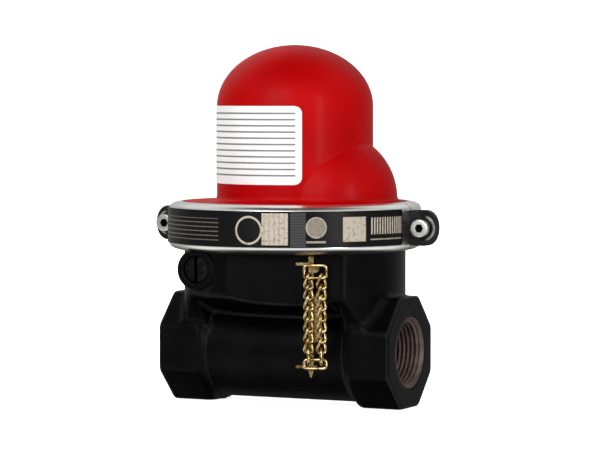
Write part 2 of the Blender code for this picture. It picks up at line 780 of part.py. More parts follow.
def nameplate_strip():
    """The thin black plate wrapped round the front half of the clamp."""
    steps = 27
    inner = BAND_RADIUS + THIN_GAP
    outer = inner + STRIP_THICKNESS
    low = BAND_HEIGHT - STRIP_HEIGHT / 2
    high = BAND_HEIGHT + STRIP_HEIGHT / 2
    section = [(inner, low), (outer, low), (outer, high), (inner, high)]
    loops = []
    for k in range(steps + 1):
        angle = -math.pi / 2 - STRIP_HALF_TURN + 2 * STRIP_HALF_TURN * k / steps
        loops.append([(r * math.cos(angle), r * math.sin(angle), height) for r, height in section])
    lofted("nameplate_strip", loops, plate_black())


def clamp_fasteners(tag, place):
    """One clamp screw with its washer and nut."""
    lug_face = GAP / 2 + LUG_SHEET
    head_seat = lug_face + GAP + WASHER_THICKNESS + GAP
    screw = rod(
        f"clamp_screw_{tag}",
        SCREW_HEAD_RADIUS,
        -head_seat - SCREW_HEAD_HEIGHT,
        -head_seat,
        24,
        "Y",
        zinc(),
    )
    screw.location = (place, 0.0, BAND_HEIGHT)
    shank = rod(f"clamp_shank_{tag}", SCREW_RADIUS, -head_seat - GAP, SCREW_LENGTH - head_seat, axis="Y")
    socket = prism(
        f"clamp_socket_{tag}",
        hexagon(SCREW_SOCKET_FLATS),
        -head_seat - SCREW_HEAD_HEIGHT - GAP,
        -head_seat - SCREW_HEAD_HEIGHT + SCREW_SOCKET_DEPTH,
        "Y",
    )
    for tool in (shank, socket):
        tool.location = (place, 0.0, BAND_HEIGHT)
    join(screw, shank)
    cut(screw, socket)
    washer = ring(
        f"clamp_washer_{tag}",
        SCREW_RADIUS + GAP,
        WASHER_RADIUS,
        -lug_face - GAP - WASHER_THICKNESS,
        -lug_face - GAP,
        24,
        "Y",
        zinc(),
    )
    washer.location = (place, 0.0, BAND_HEIGHT)
    nut = prism(
        f"clamp_nut_{tag}",
        hexagon(NUT_FLATS),
        lug_face + GAP,
        lug_face + GAP + NUT_HEIGHT,
        "Y",
        zinc(),
    )
    bore = rod(f"clamp_nut_bore_{tag}", SCREW_RADIUS + GAP, 0.0, lug_face + NUT_HEIGHT * 2, axis="Y")
    for piece in (nut, bore):
        piece.location = (place, 0.0, BAND_HEIGHT)
    cut(nut, bore)


# The reset shaft, the flapper and the trip ring, which turn as one body.


def flapper_body():
    """Models the flapper closed, and leans it up to its armed tilt about the shaft."""
    pivot = empty("flapper_pivot", (SHAFT_PLACE, 0.0, SHAFT_HEIGHT))
    armed = empty("flapper_tilt", (0.0, 0.0, 0.0), (0.0, -ARMED_TILT, 0.0))
    armed.parent = pivot
    to_seat = -SHAFT_PLACE
    drop = -SHAFT_HEIGHT

    def at_seat(piece):
        piece.location = (to_seat, 0.0, drop)
        return piece

    hole = FLAPPER_SCREW_RADIUS + GAP
    at_seat(
        ring(
            "flapper_seal",
            hole,
            SEAL_RADIUS,
            SEAL_BOTTOM,
            SEAL_BOTTOM + SEAL_THICKNESS,
            32,
            material=rubber(),
            parent=armed,
        )
    )
    rim_in = SEAL_RADIUS + GAP
    rim_out = rim_in + DISC_RIM
    disc_outline = [
        (hole, DISC_BOTTOM),
        (rim_in, DISC_BOTTOM),
        (rim_in, DISC_BOTTOM - DISC_RIM_DROP),
        (rim_out, DISC_BOTTOM - DISC_RIM_DROP),
        (rim_out, DISC_TOP),
        (hole, DISC_TOP),
    ]
    at_seat(turned("flapper_disc", disc_outline, 32, brass(), armed))
    flapper_arm(armed, to_seat, drop, hole)
    screw_outline = [
        (0.0, SEAL_BOTTOM - GAP - RETAINER_THICKNESS),
        (FLAPPER_SCREW_RADIUS, SEAL_BOTTOM - GAP - RETAINER_THICKNESS),
        (FLAPPER_SCREW_RADIUS, ARM_TOP + GAP),
        (FLAPPER_SCREW_HEAD, ARM_TOP + GAP),
        (FLAPPER_SCREW_HEAD, ARM_TOP + GAP + 0.6 * FLAPPER_SCREW_HEAD_HEIGHT),
        (0.7 * FLAPPER_SCREW_HEAD, ARM_TOP + GAP + FLAPPER_SCREW_HEAD_HEIGHT),
        (0.0, ARM_TOP + GAP + FLAPPER_SCREW_HEAD_HEIGHT),
    ]
    at_seat(turned("flapper_screw", screw_outline, 24, zinc(), armed))
    at_seat(
        ring(
            "seal_retainer",
            hole,
            RETAINER_RADIUS,
            SEAL_BOTTOM - GAP - RETAINER_THICKNESS,
            SEAL_BOTTOM - GAP,
            24,
            material=brass(),
            parent=armed,
        )
    )
    reset_shaft(pivot)
    trip_ring(pivot)


def flapper_arm(parent, to_seat, drop, hole):
    """The forked arm: two knuckles on the shaft, and an eye over the middle of the disc."""
    low = ARM_BOTTOM + drop
    high = ARM_TOP + drop
    half = ARM_WIDTH / 2
    outline = [(0.0, -ARM_FORK_HALF_WIDTH), (to_seat / 2, -half)]
    for k in range(9):
        angle = -math.pi / 2 + k * math.pi / 8
        outline.append((to_seat + half * math.cos(angle), half * math.sin(angle)))
    outline += [(to_seat / 2, half), (0.0, ARM_FORK_HALF_WIDTH)]
    arm = prism("flapper_arm", outline, low, high, material=brass(), parent=parent)
    knuckle = rod(
        "arm_knuckle", HUB_ROUND, -ARM_FORK_HALF_WIDTH, ARM_FORK_HALF_WIDTH, 24, "Y", parent=parent
    )
    join(arm, knuckle)
    slot = STRAP_WIDTH / 2 + GAP
    cut(
        arm,
        box(
            "arm_fork_cutter",
            (-2 * HUB_ROUND, -slot, -2 * HUB_ROUND),
            (HUB_ROUND + 2 * GAP, slot, 2 * HUB_ROUND),
            parent=parent,
        ),
    )
    reach = 2 * ARM_FORK_HALF_WIDTH
    cut(arm, rod("arm_bore", RUNNING_RADIUS, -reach, reach, axis="Y", parent=parent))
    eye = rod("arm_eye", hole, low - GAP, high + GAP, parent=parent)
    eye.location = (to_seat, 0.0, 0.0)
    cut(arm, eye)


def reset_shaft(parent):
    """The shaft with the slotted head that a screwdriver turns to arm the valve again."""
    recess_end = -BOSS_FACE + RESET_RECESS_DEPTH
    head_inside = recess_end - GAP
    shaft_end = REAR_HOLE_END - GAP
    outline = [
        (0.0, head_inside - RESET_HEAD_HEIGHT),
        (RESET_RECESS_RADIUS - 2 * GAP, head_inside - RESET_HEAD_HEIGHT),
        (RESET_RECESS_RADIUS - GAP, head_inside - RESET_HEAD_HEIGHT + GAP),
        (RESET_RECESS_RADIUS - GAP, head_inside),
        (SHAFT_RADIUS, head_inside),
        (SHAFT_RADIUS, shaft_end - GAP),
        (SHAFT_RADIUS - GAP, shaft_end),
        (0.0, shaft_end),
    ]
    shaft = turned("reset_shaft", outline, 24, brass(), parent, "Y")
    slot = box(
        "reset_slot_cutter",
        (-RESET_SLOT_WIDTH / 2, head_inside - RESET_HEAD_HEIGHT - GAP, -2 * RESET_RECESS_RADIUS),
        (RESET_SLOT_WIDTH / 2, head_inside - RESET_HEAD_HEIGHT + RESET_SLOT_DEPTH, 2 * RESET_RECESS_RADIUS),
        parent=parent,
    )
    cut(shaft, slot)


def trip_ring(parent):
    """The ring round the pedestal, its strap down through the carrier plate, and its eye."""
    height = TRIP_HEIGHT - SHAFT_HEIGHT
    middle = -SHAFT_PLACE
    trip = ring(
        "trip_ring",
        TRIP_INNER_RADIUS,
        TRIP_OUTER_RADIUS,
        height - TRIP_SHEET / 2,
        height + TRIP_SHEET / 2,
        32,
        material=zinc(),
        parent=parent,
    )
    trip.data.transform(Matrix.Translation((middle, 0.0, 0.0)))
    half = TRIP_SHEET / 2
    top = height + TRIP_SHEET / 2
    side = [
        (-half, HUB_ROUND - half),
        (half, HUB_ROUND - half),
        (half, top - 2.5 * TRIP_SHEET),
        (half + 1.5 * TRIP_SHEET, top - TRIP_SHEET),
        (middle - TRIP_INNER_RADIUS - half, top - TRIP_SHEET + GAP / 2),
        (middle - TRIP_INNER_RADIUS - half, top - GAP / 2),
        (half, top - GAP / 2),
        (-half, top - 1.5 * TRIP_SHEET),
    ]
    strap = prism("trip_strap", side, -STRAP_WIDTH / 2, STRAP_WIDTH / 2, "Y", parent=parent)
    join(trip, strap)
    join(trip, rod("trip_eye", HUB_ROUND, -STRAP_WIDTH / 2, STRAP_WIDTH / 2, 24, "Y", parent=parent))
    cut(trip, rod("trip_eye_bore", RUNNING_RADIUS, -STRAP_WIDTH, STRAP_WIDTH, axis="Y", parent=parent))


def shaft_fittings():
    """The bushings, the sealing ring and the spring round the reset shaft."""
    place = (SHAFT_PLACE, 0.0, SHAFT_HEIGHT)
    outer = BEARING_HOLE_RADIUS - GAP
    groove = -BOSS_FACE + RESET_RECESS_DEPTH
    ring_centre = groove + RING_SEAT_LENGTH / 2
    section = [
        (
            RUNNING_RADIUS + RING_WIRE / 2 + RING_WIRE / 2 * math.cos(2 * math.pi * k / 8),
            ring_centre + RING_WIRE / 2 * math.sin(2 * math.pi * k / 8),
        )
        for k in range(8)
    ]
    turned("shaft_o_ring", section, 20, rubber(), axis="Y").location = place
    front = groove + RING_SEAT_LENGTH
    ring(
        "shaft_front_bushing",
        RUNNING_RADIUS,
        outer,
        front,
        front + FRONT_BUSHING_LENGTH,
        24,
        "Y",
        brass(),
    ).location = place
    ring(
        "shaft_rear_bushing",
        RUNNING_RADIUS,
        outer,
        REAR_BUSHING_FRONT,
        REAR_BUSHING_FRONT + REAR_BUSHING_LENGTH,
        24,
        "Y",
        brass(),
    ).location = place
    trip_spring(place)


def trip_spring(place):
    """The light coil on the shaft that keeps the flapper up until the ball falls."""
    steps = 10 * SPRING_TURNS
    radius = RUNNING_RADIUS + SPRING_WIRE / 2
    data = bpy.data.curves.new("trip_spring", "CURVE")
    data.dimensions = "3D"
    spline = data.splines.new("POLY")
    spline.points.add(steps)
    for k, point in enumerate(spline.points):
        angle = 2 * math.pi * k / 10
        along = SPRING_PLACE + SPRING_PITCH * k / 10
        point.co = (radius * math.cos(angle), along, radius * math.sin(angle), 1.0)
    data.bevel_depth = SPRING_WIRE / 2
    data.bevel_resolution = 1
    data.use_fill_caps = True
    data.materials.append(zinc())
    made = bpy.data.objects.new("trip_spring", data)
    made.location = place
    bpy.context.scene.collection.objects.link(made)


def steel_ball():
    """The ball, on an empty at the edge of the dish that it rolls over."""
    edge = empty("ball_edge", (DISH_RADIUS, 0.0, DISH_HEIGHT))
    seat_rise = math.sqrt((BALL_RADIUS + GAP) ** 2 - DISH_RADIUS**2)
    steps = 12
    outline = [
        (
            BALL_RADIUS * math.sin(k * math.pi / steps),
            -BALL_RADIUS * math.cos(k * math.pi / steps),
        )
        for k in range(1, steps)
    ]
    outline = [(0.0, -BALL_RADIUS)] + outline + [(0.0, BALL_RADIUS)]
    ball = turned("steel_ball", outline, 20, ball_steel(), edge)
    ball.location = (-DISH_RADIUS, 0.0, seat_rise)


# The chain on the front.


def chain():
    """Hangs the bail, two strands of links, the end ring and the key on one stud."""
    head = -LINK_WIRE / 2 - GAP
    stud = turned(
        "chain_anchor",
        [
            (0.0, head - ANCHOR_HEAD_HEIGHT),
            (ANCHOR_HEAD_RADIUS, head - ANCHOR_HEAD_HEIGHT),
            (ANCHOR_HEAD_RADIUS, head),
            (ANCHOR_RADIUS, head),
            (ANCHOR_RADIUS, CHAIN_STAND + ANCHOR_DEPTH - GAP),
            (0.0, CHAIN_STAND + ANCHOR_DEPTH - GAP),
        ],
        12,
        brass(),
        axis="Y",
    )
    centre = facet_point(ANCHOR_SIDE_PLACE, CHAIN_REACH, ANCHOR_HEIGHT)
    stud.location = centre
    stud.rotation_euler = (0.0, 0.0, FACET_TURN)
    pivot = empty("chain_pivot", centre, (0.0, 0.0, FACET_TURN))
    half_inside = (LINK_PITCH + LINK_PLAY) / 2
    bail_height = 2 * ANCHOR_RADIUS + LINK_WIRE + 2 * LINK_PLAY
    bail_top = ANCHOR_RADIUS + GAP
    bail_foot = bail_top - bail_height
    first = bail_foot + LINK_PLAY - half_inside
    last = first - (LINKS_IN_STRAND - 1) * LINK_PITCH
    half_width = STRAND_SPACING / 2 + LINK_WIRE / 2 + LINK_PLAY
    bail = wire_ring("chain_bail", half_width, bail_height / 2, RING_CORNER, pivot)
    bail.location = (0.0, 0.0, bail_top - bail_height / 2)
    ring_height = LINK_WIRE + 2 * LINK_PLAY
    ring_top = last - half_inside + LINK_PLAY
    end = wire_ring("chain_end_ring", half_width, ring_height / 2, RING_CORNER, pivot)
    end.location = (0.0, 0.0, ring_top - ring_height / 2)
    half_wide = LINK_WIDTH / 2 - LINK_WIRE
    twisted = wire_ring("chain_link_left_01", half_wide, half_inside, half_wide, pivot, LINK_TURN)
    plain = wire_ring(f"chain_link_left_{LINKS_IN_STRAND:02d}", half_wide, half_inside, half_wide, pivot)
    for strand, tag in ((-STRAND_SPACING / 2, "left"), (STRAND_SPACING / 2, "right")):
        for k in range(LINKS_IN_STRAND):
            last = k == LINKS_IN_STRAND - 1
            piece = bpy.data.objects.get(f"chain_link_{tag}_{k + 1:02d}")
            if piece is None:
                like = plain if last else twisted
                piece = bpy.data.objects.new(f"chain_link_{tag}_{k + 1:02d}", like.data)
                piece.parent = pivot
                bpy.context.scene.collection.objects.link(piece)
            piece.location = (strand, 0.0, first - k * LINK_PITCH)
            piece.rotation_euler = (0.0, 0.0, 2 * LINK_TURN if last else LINK_TURN)
    reset_key(pivot)


def wire_ring(name, half_wide, half_high, corner, parent, twist=0.0):
    """A closed ring of round wire in the XZ plane, from half the width and height of its hole.

    A twist turns its top that way about Z and its foot the other way, as in a curb chain.
    """
    bend = corner + LINK_WIRE / 2
    across = half_wide + LINK_WIRE / 2 - bend
    up = half_high + LINK_WIRE / 2 - bend
    steps = 2
    points = []
    for quarter, (side, rise) in enumerate(((1, 1), (-1, 1), (-1, -1), (1, -1))):
        for k in range(steps + 1):
            angle = (quarter + k / steps) * math.pi / 2
            sideways = side * across + bend * math.cos(angle)
            height = rise * up + bend * math.sin(angle)
            turn = twist * height / (up + bend)
            place = (sideways * math.cos(turn), sideways * math.sin(turn), height)
            if not points or math.dist(points[-1], place) > THIN_GAP:
                points.append(place)
    if math.dist(points[0], points[-1]) < THIN_GAP:
        points.pop()
    data = bpy.data.curves.new(name, "CURVE")
    data.dimensions = "3D"
    spline = data.splines.new("POLY")
    spline.points.add(len(points) - 1)
    spline.use_cyclic_u = True
    for point, place in zip(spline.points, points):
        point.co = (*place, 1.0)
    data.bevel_depth = LINK_WIRE / 2
    data.bevel_resolution = 1
    data.materials.append(brass())
    made = bpy.data.objects.new(name, data)
    made.parent = parent
    bpy.context.scene.collection.objects.link(made)
    return made


def reset_key(parent):
    """The flat pointed key behind the chain, with a grip and a short bar near each end."""
    half = KEY_WIDTH / 2
    upper = KEY_UPPER_BAR
    lower = -KEY_LOWER_BAR
    tip = -KEY_TIP
    outline = [
        (half, KEY_TOP),
        (half, -KEY_GRIP_TOP),
        (KEY_GRIP_REACH, -KEY_GRIP_TOP - KEY_BAR),
        (KEY_GRIP_REACH, -KEY_GRIP_FOOT + KEY_BAR),
        (half, -KEY_GRIP_FOOT),
        (half, lower + KEY_BAR / 2),
        (KEY_SHORT_REACH, lower + KEY_BAR / 2),
        (KEY_SHORT_REACH, lower - KEY_BAR / 2),
        (half * 1.3, lower - KEY_BAR / 2),
        (half / 5, tip),
        (-half / 5, tip),
        (-half * 1.3, tip + KEY_POINT - KEY_BAR),
        (-half, lower - KEY_BAR / 2),
        (-KEY_BAR_REACH, lower - KEY_BAR / 2),
        (-KEY_BAR_REACH, lower + KEY_BAR / 2),
        (-half, lower + KEY_BAR / 2),
        (-half, upper - KEY_BAR / 2),
        (-KEY_BAR_REACH, upper - KEY_BAR / 2),
        (-KEY_BAR_REACH, upper + KEY_BAR / 2),
        (-half, upper + KEY_BAR / 2),
        (-half, KEY_TOP),
    ]
    outline = [(KEY_PLACE + across, up) for across, up in outline]
    key = prism("reset_key", outline, KEY_FRONT, KEY_BACK, "Y", brass(), parent)
    join(key, rod("key_eye", 2 * ANCHOR_RADIUS, KEY_FRONT, KEY_BACK, 16, "Y", parent=parent))
    hole = rod("key_hole", ANCHOR_RADIUS + GAP, KEY_FRONT - GAP, KEY_BACK + GAP, 12, "Y", parent=parent)
    cut(key, hole)


def build():
    """Makes every piece of the valve."""
    clear_scene()
    body_casting()
    seat_ring()
    dome_cap()
    cap_gasket()
    carrier_plate()
    pedestal()
    pedestal_nut()
    band_half("clamp_front_half", -1)
    band_half("clamp_rear_half", 1)
    nameplate_strip()
    clamp_fasteners("left", -SCREW_PLACE)
    clamp_fasteners("right", SCREW_PLACE)
    flapper_body()
    shaft_fittings()
    steel_ball()
    chain()


build()
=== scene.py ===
"""The looks of an earthquake shutoff valve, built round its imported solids.

Lengths are in metres. +X runs along the pipe towards the inlet, and +Z up the dome's axis.
"""

import math

import bmesh
import bpy
import numpy as np
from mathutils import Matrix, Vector


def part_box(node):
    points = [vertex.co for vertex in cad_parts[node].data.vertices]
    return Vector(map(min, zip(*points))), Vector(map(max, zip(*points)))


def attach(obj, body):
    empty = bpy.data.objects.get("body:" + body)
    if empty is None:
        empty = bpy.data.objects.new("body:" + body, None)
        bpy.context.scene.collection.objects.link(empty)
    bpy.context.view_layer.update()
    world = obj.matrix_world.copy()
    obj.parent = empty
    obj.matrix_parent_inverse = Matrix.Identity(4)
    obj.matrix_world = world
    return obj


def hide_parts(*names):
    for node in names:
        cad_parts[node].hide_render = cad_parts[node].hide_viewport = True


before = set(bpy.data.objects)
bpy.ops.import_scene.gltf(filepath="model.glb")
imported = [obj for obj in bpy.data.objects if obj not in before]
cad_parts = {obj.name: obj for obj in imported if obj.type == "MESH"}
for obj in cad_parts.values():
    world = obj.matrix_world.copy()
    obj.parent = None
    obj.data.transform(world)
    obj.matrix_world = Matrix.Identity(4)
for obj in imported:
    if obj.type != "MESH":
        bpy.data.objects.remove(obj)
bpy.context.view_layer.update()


# THE BODY. One grey-iron sand casting, dipped in black enamel: a pipe run with eight-sided
# ends for the wrench, a round neck on top, webs from the neck to both ends, and a flat on the
# neck's front. Every corner is cast round, and the paint has filled the sand's grain.

body_low, body_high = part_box("body_casting")
half_length = body_high.x
pipe_height = 0.0222
end_half_flats = pipe_height
shoulder_place = half_length - 0.0196
shoulder_radius = 0.0219
shoulder_slope = 0.9
barrel_radius = 0.0206
neck_radius = 0.0448
neck_bottom = 0.0460
underside_foot = 0.0360
foot_long_share = 0.80
foot_wide_share = 0.30
hub_radius = 0.0464
hub_bottom = 0.0635
flange_radius = -body_low.y
flange_bottom = 0.0649
facet_reach = 0.0385
facet_turn = math.radians(19.5)
facet_out = np.array([math.sin(facet_turn), -math.cos(facet_turn), 0.0])
web_inside = 0.0305
web_foot = 0.0352
web_foot_half_width = 0.0226
web_half_width = 0.0300
chamber_radius = 0.0350
chamber_floor = 0.0500
port_seat_radius = 0.0138
port_depth = 0.0165
passage_radius = 0.0108
riser_place = 0.0262
riser_radius = 0.0080
seat_way_radius = 0.0096
seat_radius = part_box("seat_ring")[1].y + 0.0003
seat_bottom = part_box("seat_ring")[0].z - 0.0003
shaft_place = -0.0235
shaft_height = 0.0556
bearing_radius = 0.0049
bearing_end = 0.0325
boss_radius = 0.0081
boss_face = 0.0424
boss_cast_face = boss_face - 0.0014
boss_hollow_radius = 0.0062
boss_hollow_depth = 0.0038
boss_top = 0.0623


def blend_low(a, b, width):
    """The lower of two distances, with the crease between them filled by a parabola."""
    near = np.maximum(width - np.abs(a - b), 0.0) / width
    return np.minimum(a, b) - near**2 * width / 4


def blend_high(a, b, width):
    """The higher of two distances, with the edge between them rounded the same way."""
    return -blend_low(-a, -b, width)


def body_distance(x, y, z):
    """How far a point is outside the casting, negative inside it.

    Each simple form is a largest-of or smallest-of plane and cylinder distances. They are
    joined with filled creases, and the flow path and bores are taken out with rounded edges.
    A sloped form's distance is scaled by its slope's cosine. Forms tuck into each other by a
    millimetre or two where they join.
    """
    cast_round = 0.0012
    web_round = 0.0030
    end_round = 0.0010
    neck_round = 0.0008
    fine_round = 0.0006
    bore_round = 0.0003
    tuck = 0.001
    along = np.abs(x)
    up = z - pipe_height
    side = np.hypot(y, up)
    radial = np.hypot(x, y)

    square = blend_high(np.abs(y), np.abs(up), cast_round)
    corner = (np.abs(y) + np.abs(up)) / math.sqrt(2)
    eight = blend_high(square, corner, cast_round) - end_half_flats
    cone = (side - shoulder_radius - (along - shoulder_place) * shoulder_slope) * 0.74
    ends = blend_high(blend_high(eight, cone, cast_round), shoulder_place - along, cast_round)
    ends = blend_high(ends, along - half_length, end_round)
    barrel = np.maximum(side - barrel_radius, along - shoulder_place - 2 * tuck)
    run = blend_low(ends, barrel, 0.0016)

    rise = np.clip((z - underside_foot) / (neck_bottom - underside_foot), 0.0, 1.0)
    rise = 1 - (1 - rise) ** 1.5
    long = neck_radius * (foot_long_share + (1 - foot_long_share) * rise)
    wide = neck_radius * (foot_wide_share + (1 - foot_wide_share) * rise)
    above_foot = np.maximum(z - neck_bottom, 0.0)
    underside = (np.hypot(x / long, y / wide) - 1) * wide - 4 * above_foot
    underside = blend_high(underside, underside_foot - z, end_round)
    lean = web_half_width - web_foot_half_width, neck_bottom - web_foot
    across_web = (np.abs(y) - web_foot_half_width) * lean[1] - (z - web_foot) * lean[0]
    web = blend_high(across_web / math.hypot(*lean), web_inside - along, web_round)
    flat = facet_out[0] * x + facet_out[1] * y - facet_reach
    wall = blend_high(radial - neck_radius, blend_low(underside, web, web_round), 0.0014)
    wall = blend_high(wall, flat, neck_round)
    wall = np.maximum(wall, z - hub_bottom - tuck)
    under_hub = (flange_bottom - hub_bottom) / (flange_radius - hub_radius)
    land = (hub_bottom + np.maximum(radial - hub_radius, 0.0) * under_hub - z) * 0.93
    flange = blend_high(radial - flange_radius, land, neck_round)
    flange = blend_high(flange, z - body_high.z, fine_round)
    hub = np.maximum(radial - hub_radius, np.maximum(hub_bottom - z, z - body_high.z + tuck))
    neck = blend_low(blend_low(wall, hub, neck_round), flange, fine_round)

    body = blend_low(run, neck, web_round)

    boss_side = np.hypot(x - shaft_place, z - shaft_height)
    under_rim = 0.0001
    boss = blend_high(boss_side - boss_radius + under_rim, z - boss_top + under_rim, fine_round)
    boss = blend_high(boss, -boss_cast_face - y, neck_round)
    body = blend_low(body, np.maximum(boss, y), 0.0022)

    def hollow(cavity, soft=fine_round):
        """Takes a cavity out of the body, with a small round on its edge."""
        return blend_high(body, -cavity, soft)

    body = hollow(np.maximum(radial - chamber_radius, chamber_floor - z), end_round)
    port = np.maximum(side - port_seat_radius, half_length - port_depth - along)
    body = hollow(port, bore_round)
    inlet = np.maximum(side - passage_radius, riser_place - x)
    outlet = np.maximum(side - passage_radius, x)
    elbow = np.sqrt(np.minimum((x - riser_place) ** 2, x**2) + y**2 + up**2)
    body = hollow(np.minimum(np.minimum(inlet, outlet), elbow - passage_radius))
    seat_way = np.maximum(radial - seat_way_radius, -up)
    riser = np.maximum(np.hypot(x - riser_place, y) - riser_radius, -up)
    body = hollow(np.maximum(np.minimum(seat_way, riser), z - body_high.z))
    seat = np.maximum(seat_bottom - z, z - chamber_floor - 2 * tuck)
    body = hollow(np.maximum(radial - seat_radius, seat))
    boss_hollow = np.maximum(boss_side - boss_hollow_radius, y + boss_face - boss_hollow_depth)
    body = hollow(boss_hollow, bore_round)
    return hollow(np.maximum(boss_side - bearing_radius, y - bearing_end), 0.0004)


def cast_skin(distance, low, high, step):
    """Skins the place where a distance is zero, sampled on a cubic lattice.

    Every cell that the surface crosses gets one point, at the mean of the crossings on the
    cell's twelve edges, and every lattice edge that it crosses gets one quad of four such
    points. The points are then evened out and drawn onto the surface along its slope.
    """
    axes = [np.arange(a - 1.5 * step, b + 2.5 * step, step) for a, b in zip(low, high)]
    value = distance(*np.meshgrid(*axes, indexing="ij"))
    inside = value < 0
    cells = np.array(inside.shape) - 1
    unit = np.eye(3, dtype=int)
    filled = np.zeros(cells, int)
    for corner in np.ndindex(2, 2, 2):
        filled += inside[tuple(slice(c, c + n) for c, n in zip(corner, cells))]
    crossed = (filled > 0) & (filled < 8)
    number = np.full(cells, -1)
    number[crossed] = np.arange(crossed.sum())
    cell = np.argwhere(crossed)
    total = np.zeros((len(cell), 3))
    hits = np.zeros(len(cell))
    faces = []
    for axis in range(3):
        u, v = (axis + 1) % 3, (axis + 2) % 3
        for du, dv in np.ndindex(2, 2):
            start = cell + du * unit[u] + dv * unit[v]
            here = value[tuple(start.T)]
            there = value[tuple((start + unit[axis]).T)]
            change = (here < 0) != (there < 0)
            share = np.where(change, here / np.where(change, here - there, 1.0), 0.0)
            total += np.where(change[:, None], start + share[:, None] * unit[axis], 0.0)
            hits += change
        along_axis = np.arange(3) == axis
        lower = inside[tuple(slice(0, -1) if here else slice(None) for here in along_axis)]
        upper = inside[tuple(slice(1, None) if here else slice(None) for here in along_axis)]
        edge = np.argwhere(lower != upper)
        around = [edge - unit[u] - unit[v], edge - unit[v], edge, edge - unit[u]]
        quad = np.stack([number[tuple(corner.T)] for corner in around], axis=1)
        outward = lower[tuple(edge.T)]
        faces.append(np.where(outward[:, None], quad, quad[:, ::-1]))
    faces = np.concatenate(faces)
    origin = np.array([a[0] for a in axes])
    points = origin + step * total / hits[:, None]
    pairs = np.concatenate([faces[:, [k, (k + 1) % 4]] for k in range(4)])
    degree = np.bincount(pairs[:, 0], minlength=len(points))[:, None]

    def slope(place):
        """The distance at each point, and its steepest direction by small steps both ways."""
        small = step / 20
        runs = [
            distance(*(place + small * unit[k]).T) - distance(*(place - small * unit[k]).T)
            for k in range(3)
        ]
        return distance(*place.T), np.stack(runs, axis=1) / (2 * small)

    for _ in range(4):
        near, far = pairs.T
        sums = [np.bincount(near, points[far, k], len(points)) for k in range(3)]
        points = points + 0.5 * (np.stack(sums, axis=1) / degree - points)
        for _ in range(2):
            off, steep = slope(points)
            move = off / np.maximum((steep**2).sum(1), 0.2)
            points = points - np.clip(move, -step, step)[:, None] * steep
    reach = 0.0009
    bend = sum(
        distance(*(points + side * reach * unit[k]).T) for k in range(3) for side in (-1, 1)
    ) - 6 * distance(*points.T)
    return points, faces, np.clip(bend / reach, -1.0, 1.0)


def piece_from(name, points, faces, finish, body, replaced=(), sharp=40, tidy=True):
    """Makes one piece, in place: merges its poles, shades it round, and rides it on its body."""
    mesh = bpy.data.meshes.new(name)
    places = np.asarray(points, float).reshape(-1, 3)
    mesh.from_pydata(places.tolist(), [], np.asarray(faces).tolist())
    if tidy:
        shape = bmesh.new()
        shape.from_mesh(mesh)
        bmesh.ops.remove_doubles(shape, verts=shape.verts, dist=2e-7)
        bmesh.ops.recalc_face_normals(shape, faces=shape.faces)
        shape.to_mesh(mesh)
        shape.free()
    mesh.shade_smooth()
    mesh.set_sharp_from_angle(angle=math.radians(sharp))
    mesh.materials.append(finish)
    piece = bpy.data.objects.new(name, mesh)
    bpy.context.scene.collection.objects.link(piece)
    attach(piece, body)
    if replaced:
        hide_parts(*replaced)
    return piece


def write_attribute(piece, name, values):
    """Stores one number for each point of a piece, for its material to read."""
    stored = piece.data.attributes.new(name, "FLOAT", "POINT")
    stored.data.foreach_set("value", np.asarray(values, np.float32).ravel())


class Wire:
    """One output of a shader node. Arithmetic on wires adds the Math nodes that work it out."""

    def __init__(self, tree, socket=None):
        self.tree = tree
        self.socket = socket

    def put(self, socket, value):
        """Links a wire to a socket, or sets a plain value on it."""
        if isinstance(value, Wire):
            self.tree.links.new(value.socket, socket)
        else:
            socket.default_value = value

    def node(self, kind, settings=None, sockets=None, output=0):
        """Adds a node, makes its settings, fills its sockets, and gives one of its outputs."""
        made = self.tree.nodes.new("ShaderNode" + kind)
        for name, value in (settings or {}).items():
            setattr(made, name, value)
        for name, value in (sockets or {}).items():
            self.put(made.inputs[name], value)
        return Wire(self.tree, made.outputs[output])

    def attribute(self, name):
        """A number that is stored on the piece's points."""
        return self.node("Attribute", {"attribute_name": name}, output="Fac")

    def math(self, operation, *others):
        """A Math node's operation on this wire and the others."""
        return self.node("Math", {"operation": operation}, dict(enumerate((self, *others))))

    def __add__(self, other):
        return self.math("ADD", other)

    def __sub__(self, other):
        return self.math("SUBTRACT", other)

    def __rsub__(self, other):
        return self.math("MULTIPLY", -1.0) + other

    def __mul__(self, other):
        return self.math("MULTIPLY", other)

    def __pow__(self, other):
        return self.math("POWER", other)

    __radd__ = __add__
    __rmul__ = __mul__

    def step(self, low, high):
        """Rises smoothly from 0 to 1 as the wire goes from low to high."""
        return self.node(
            "MapRange",
            {"interpolation_type": "SMOOTHSTEP"},
            {"Value": self, "From Min": low, "From Max": high},
        )

    def between(self, low, high, soft):
        """One between low and high, and zero outside, with edges that rise inside them."""
        return self.step(low, low + soft) * self.step(high, high - soft)

    def off_stripe(self, pitch):
        """How far this length is from the middle of its stripe, as a share of the pitch."""
        return ((self * (1 / pitch)).math("FRACT") - 0.5).math("ABSOLUTE")

    def split(self):
        """The three parts of a vector."""
        return [self.node("SeparateXYZ", None, {0: self}, output=k) for k in range(3)]

    def scaled(self, sizes):
        """A place, stretched by a factor for each axis."""
        return self.node("Mapping", None, {"Vector": self, "Scale": sizes})

    def noise(self, scale, detail=2.0, roughness=0.5):
        """Cloudy noise from 0 to 1 at this place, scale lumps to the metre."""
        sockets = {"Vector": self, "Scale": scale, "Detail": detail, "Roughness": roughness}
        return self.node("TexNoise", None, sockets)

    def mix(self, low, high):
        """A colour between two, by this wire's share of the second."""
        return self.node("Mix", {"data_type": "RGBA"}, {0: self, 6: low, 7: high}, output=2)

    def bump(self, distance, strength=1.0):
        """A normal for this height, which is a share of a distance in metres."""
        sockets = {"Height": self, "Distance": distance, "Strength": strength}
        return self.node("Bump", None, sockets)


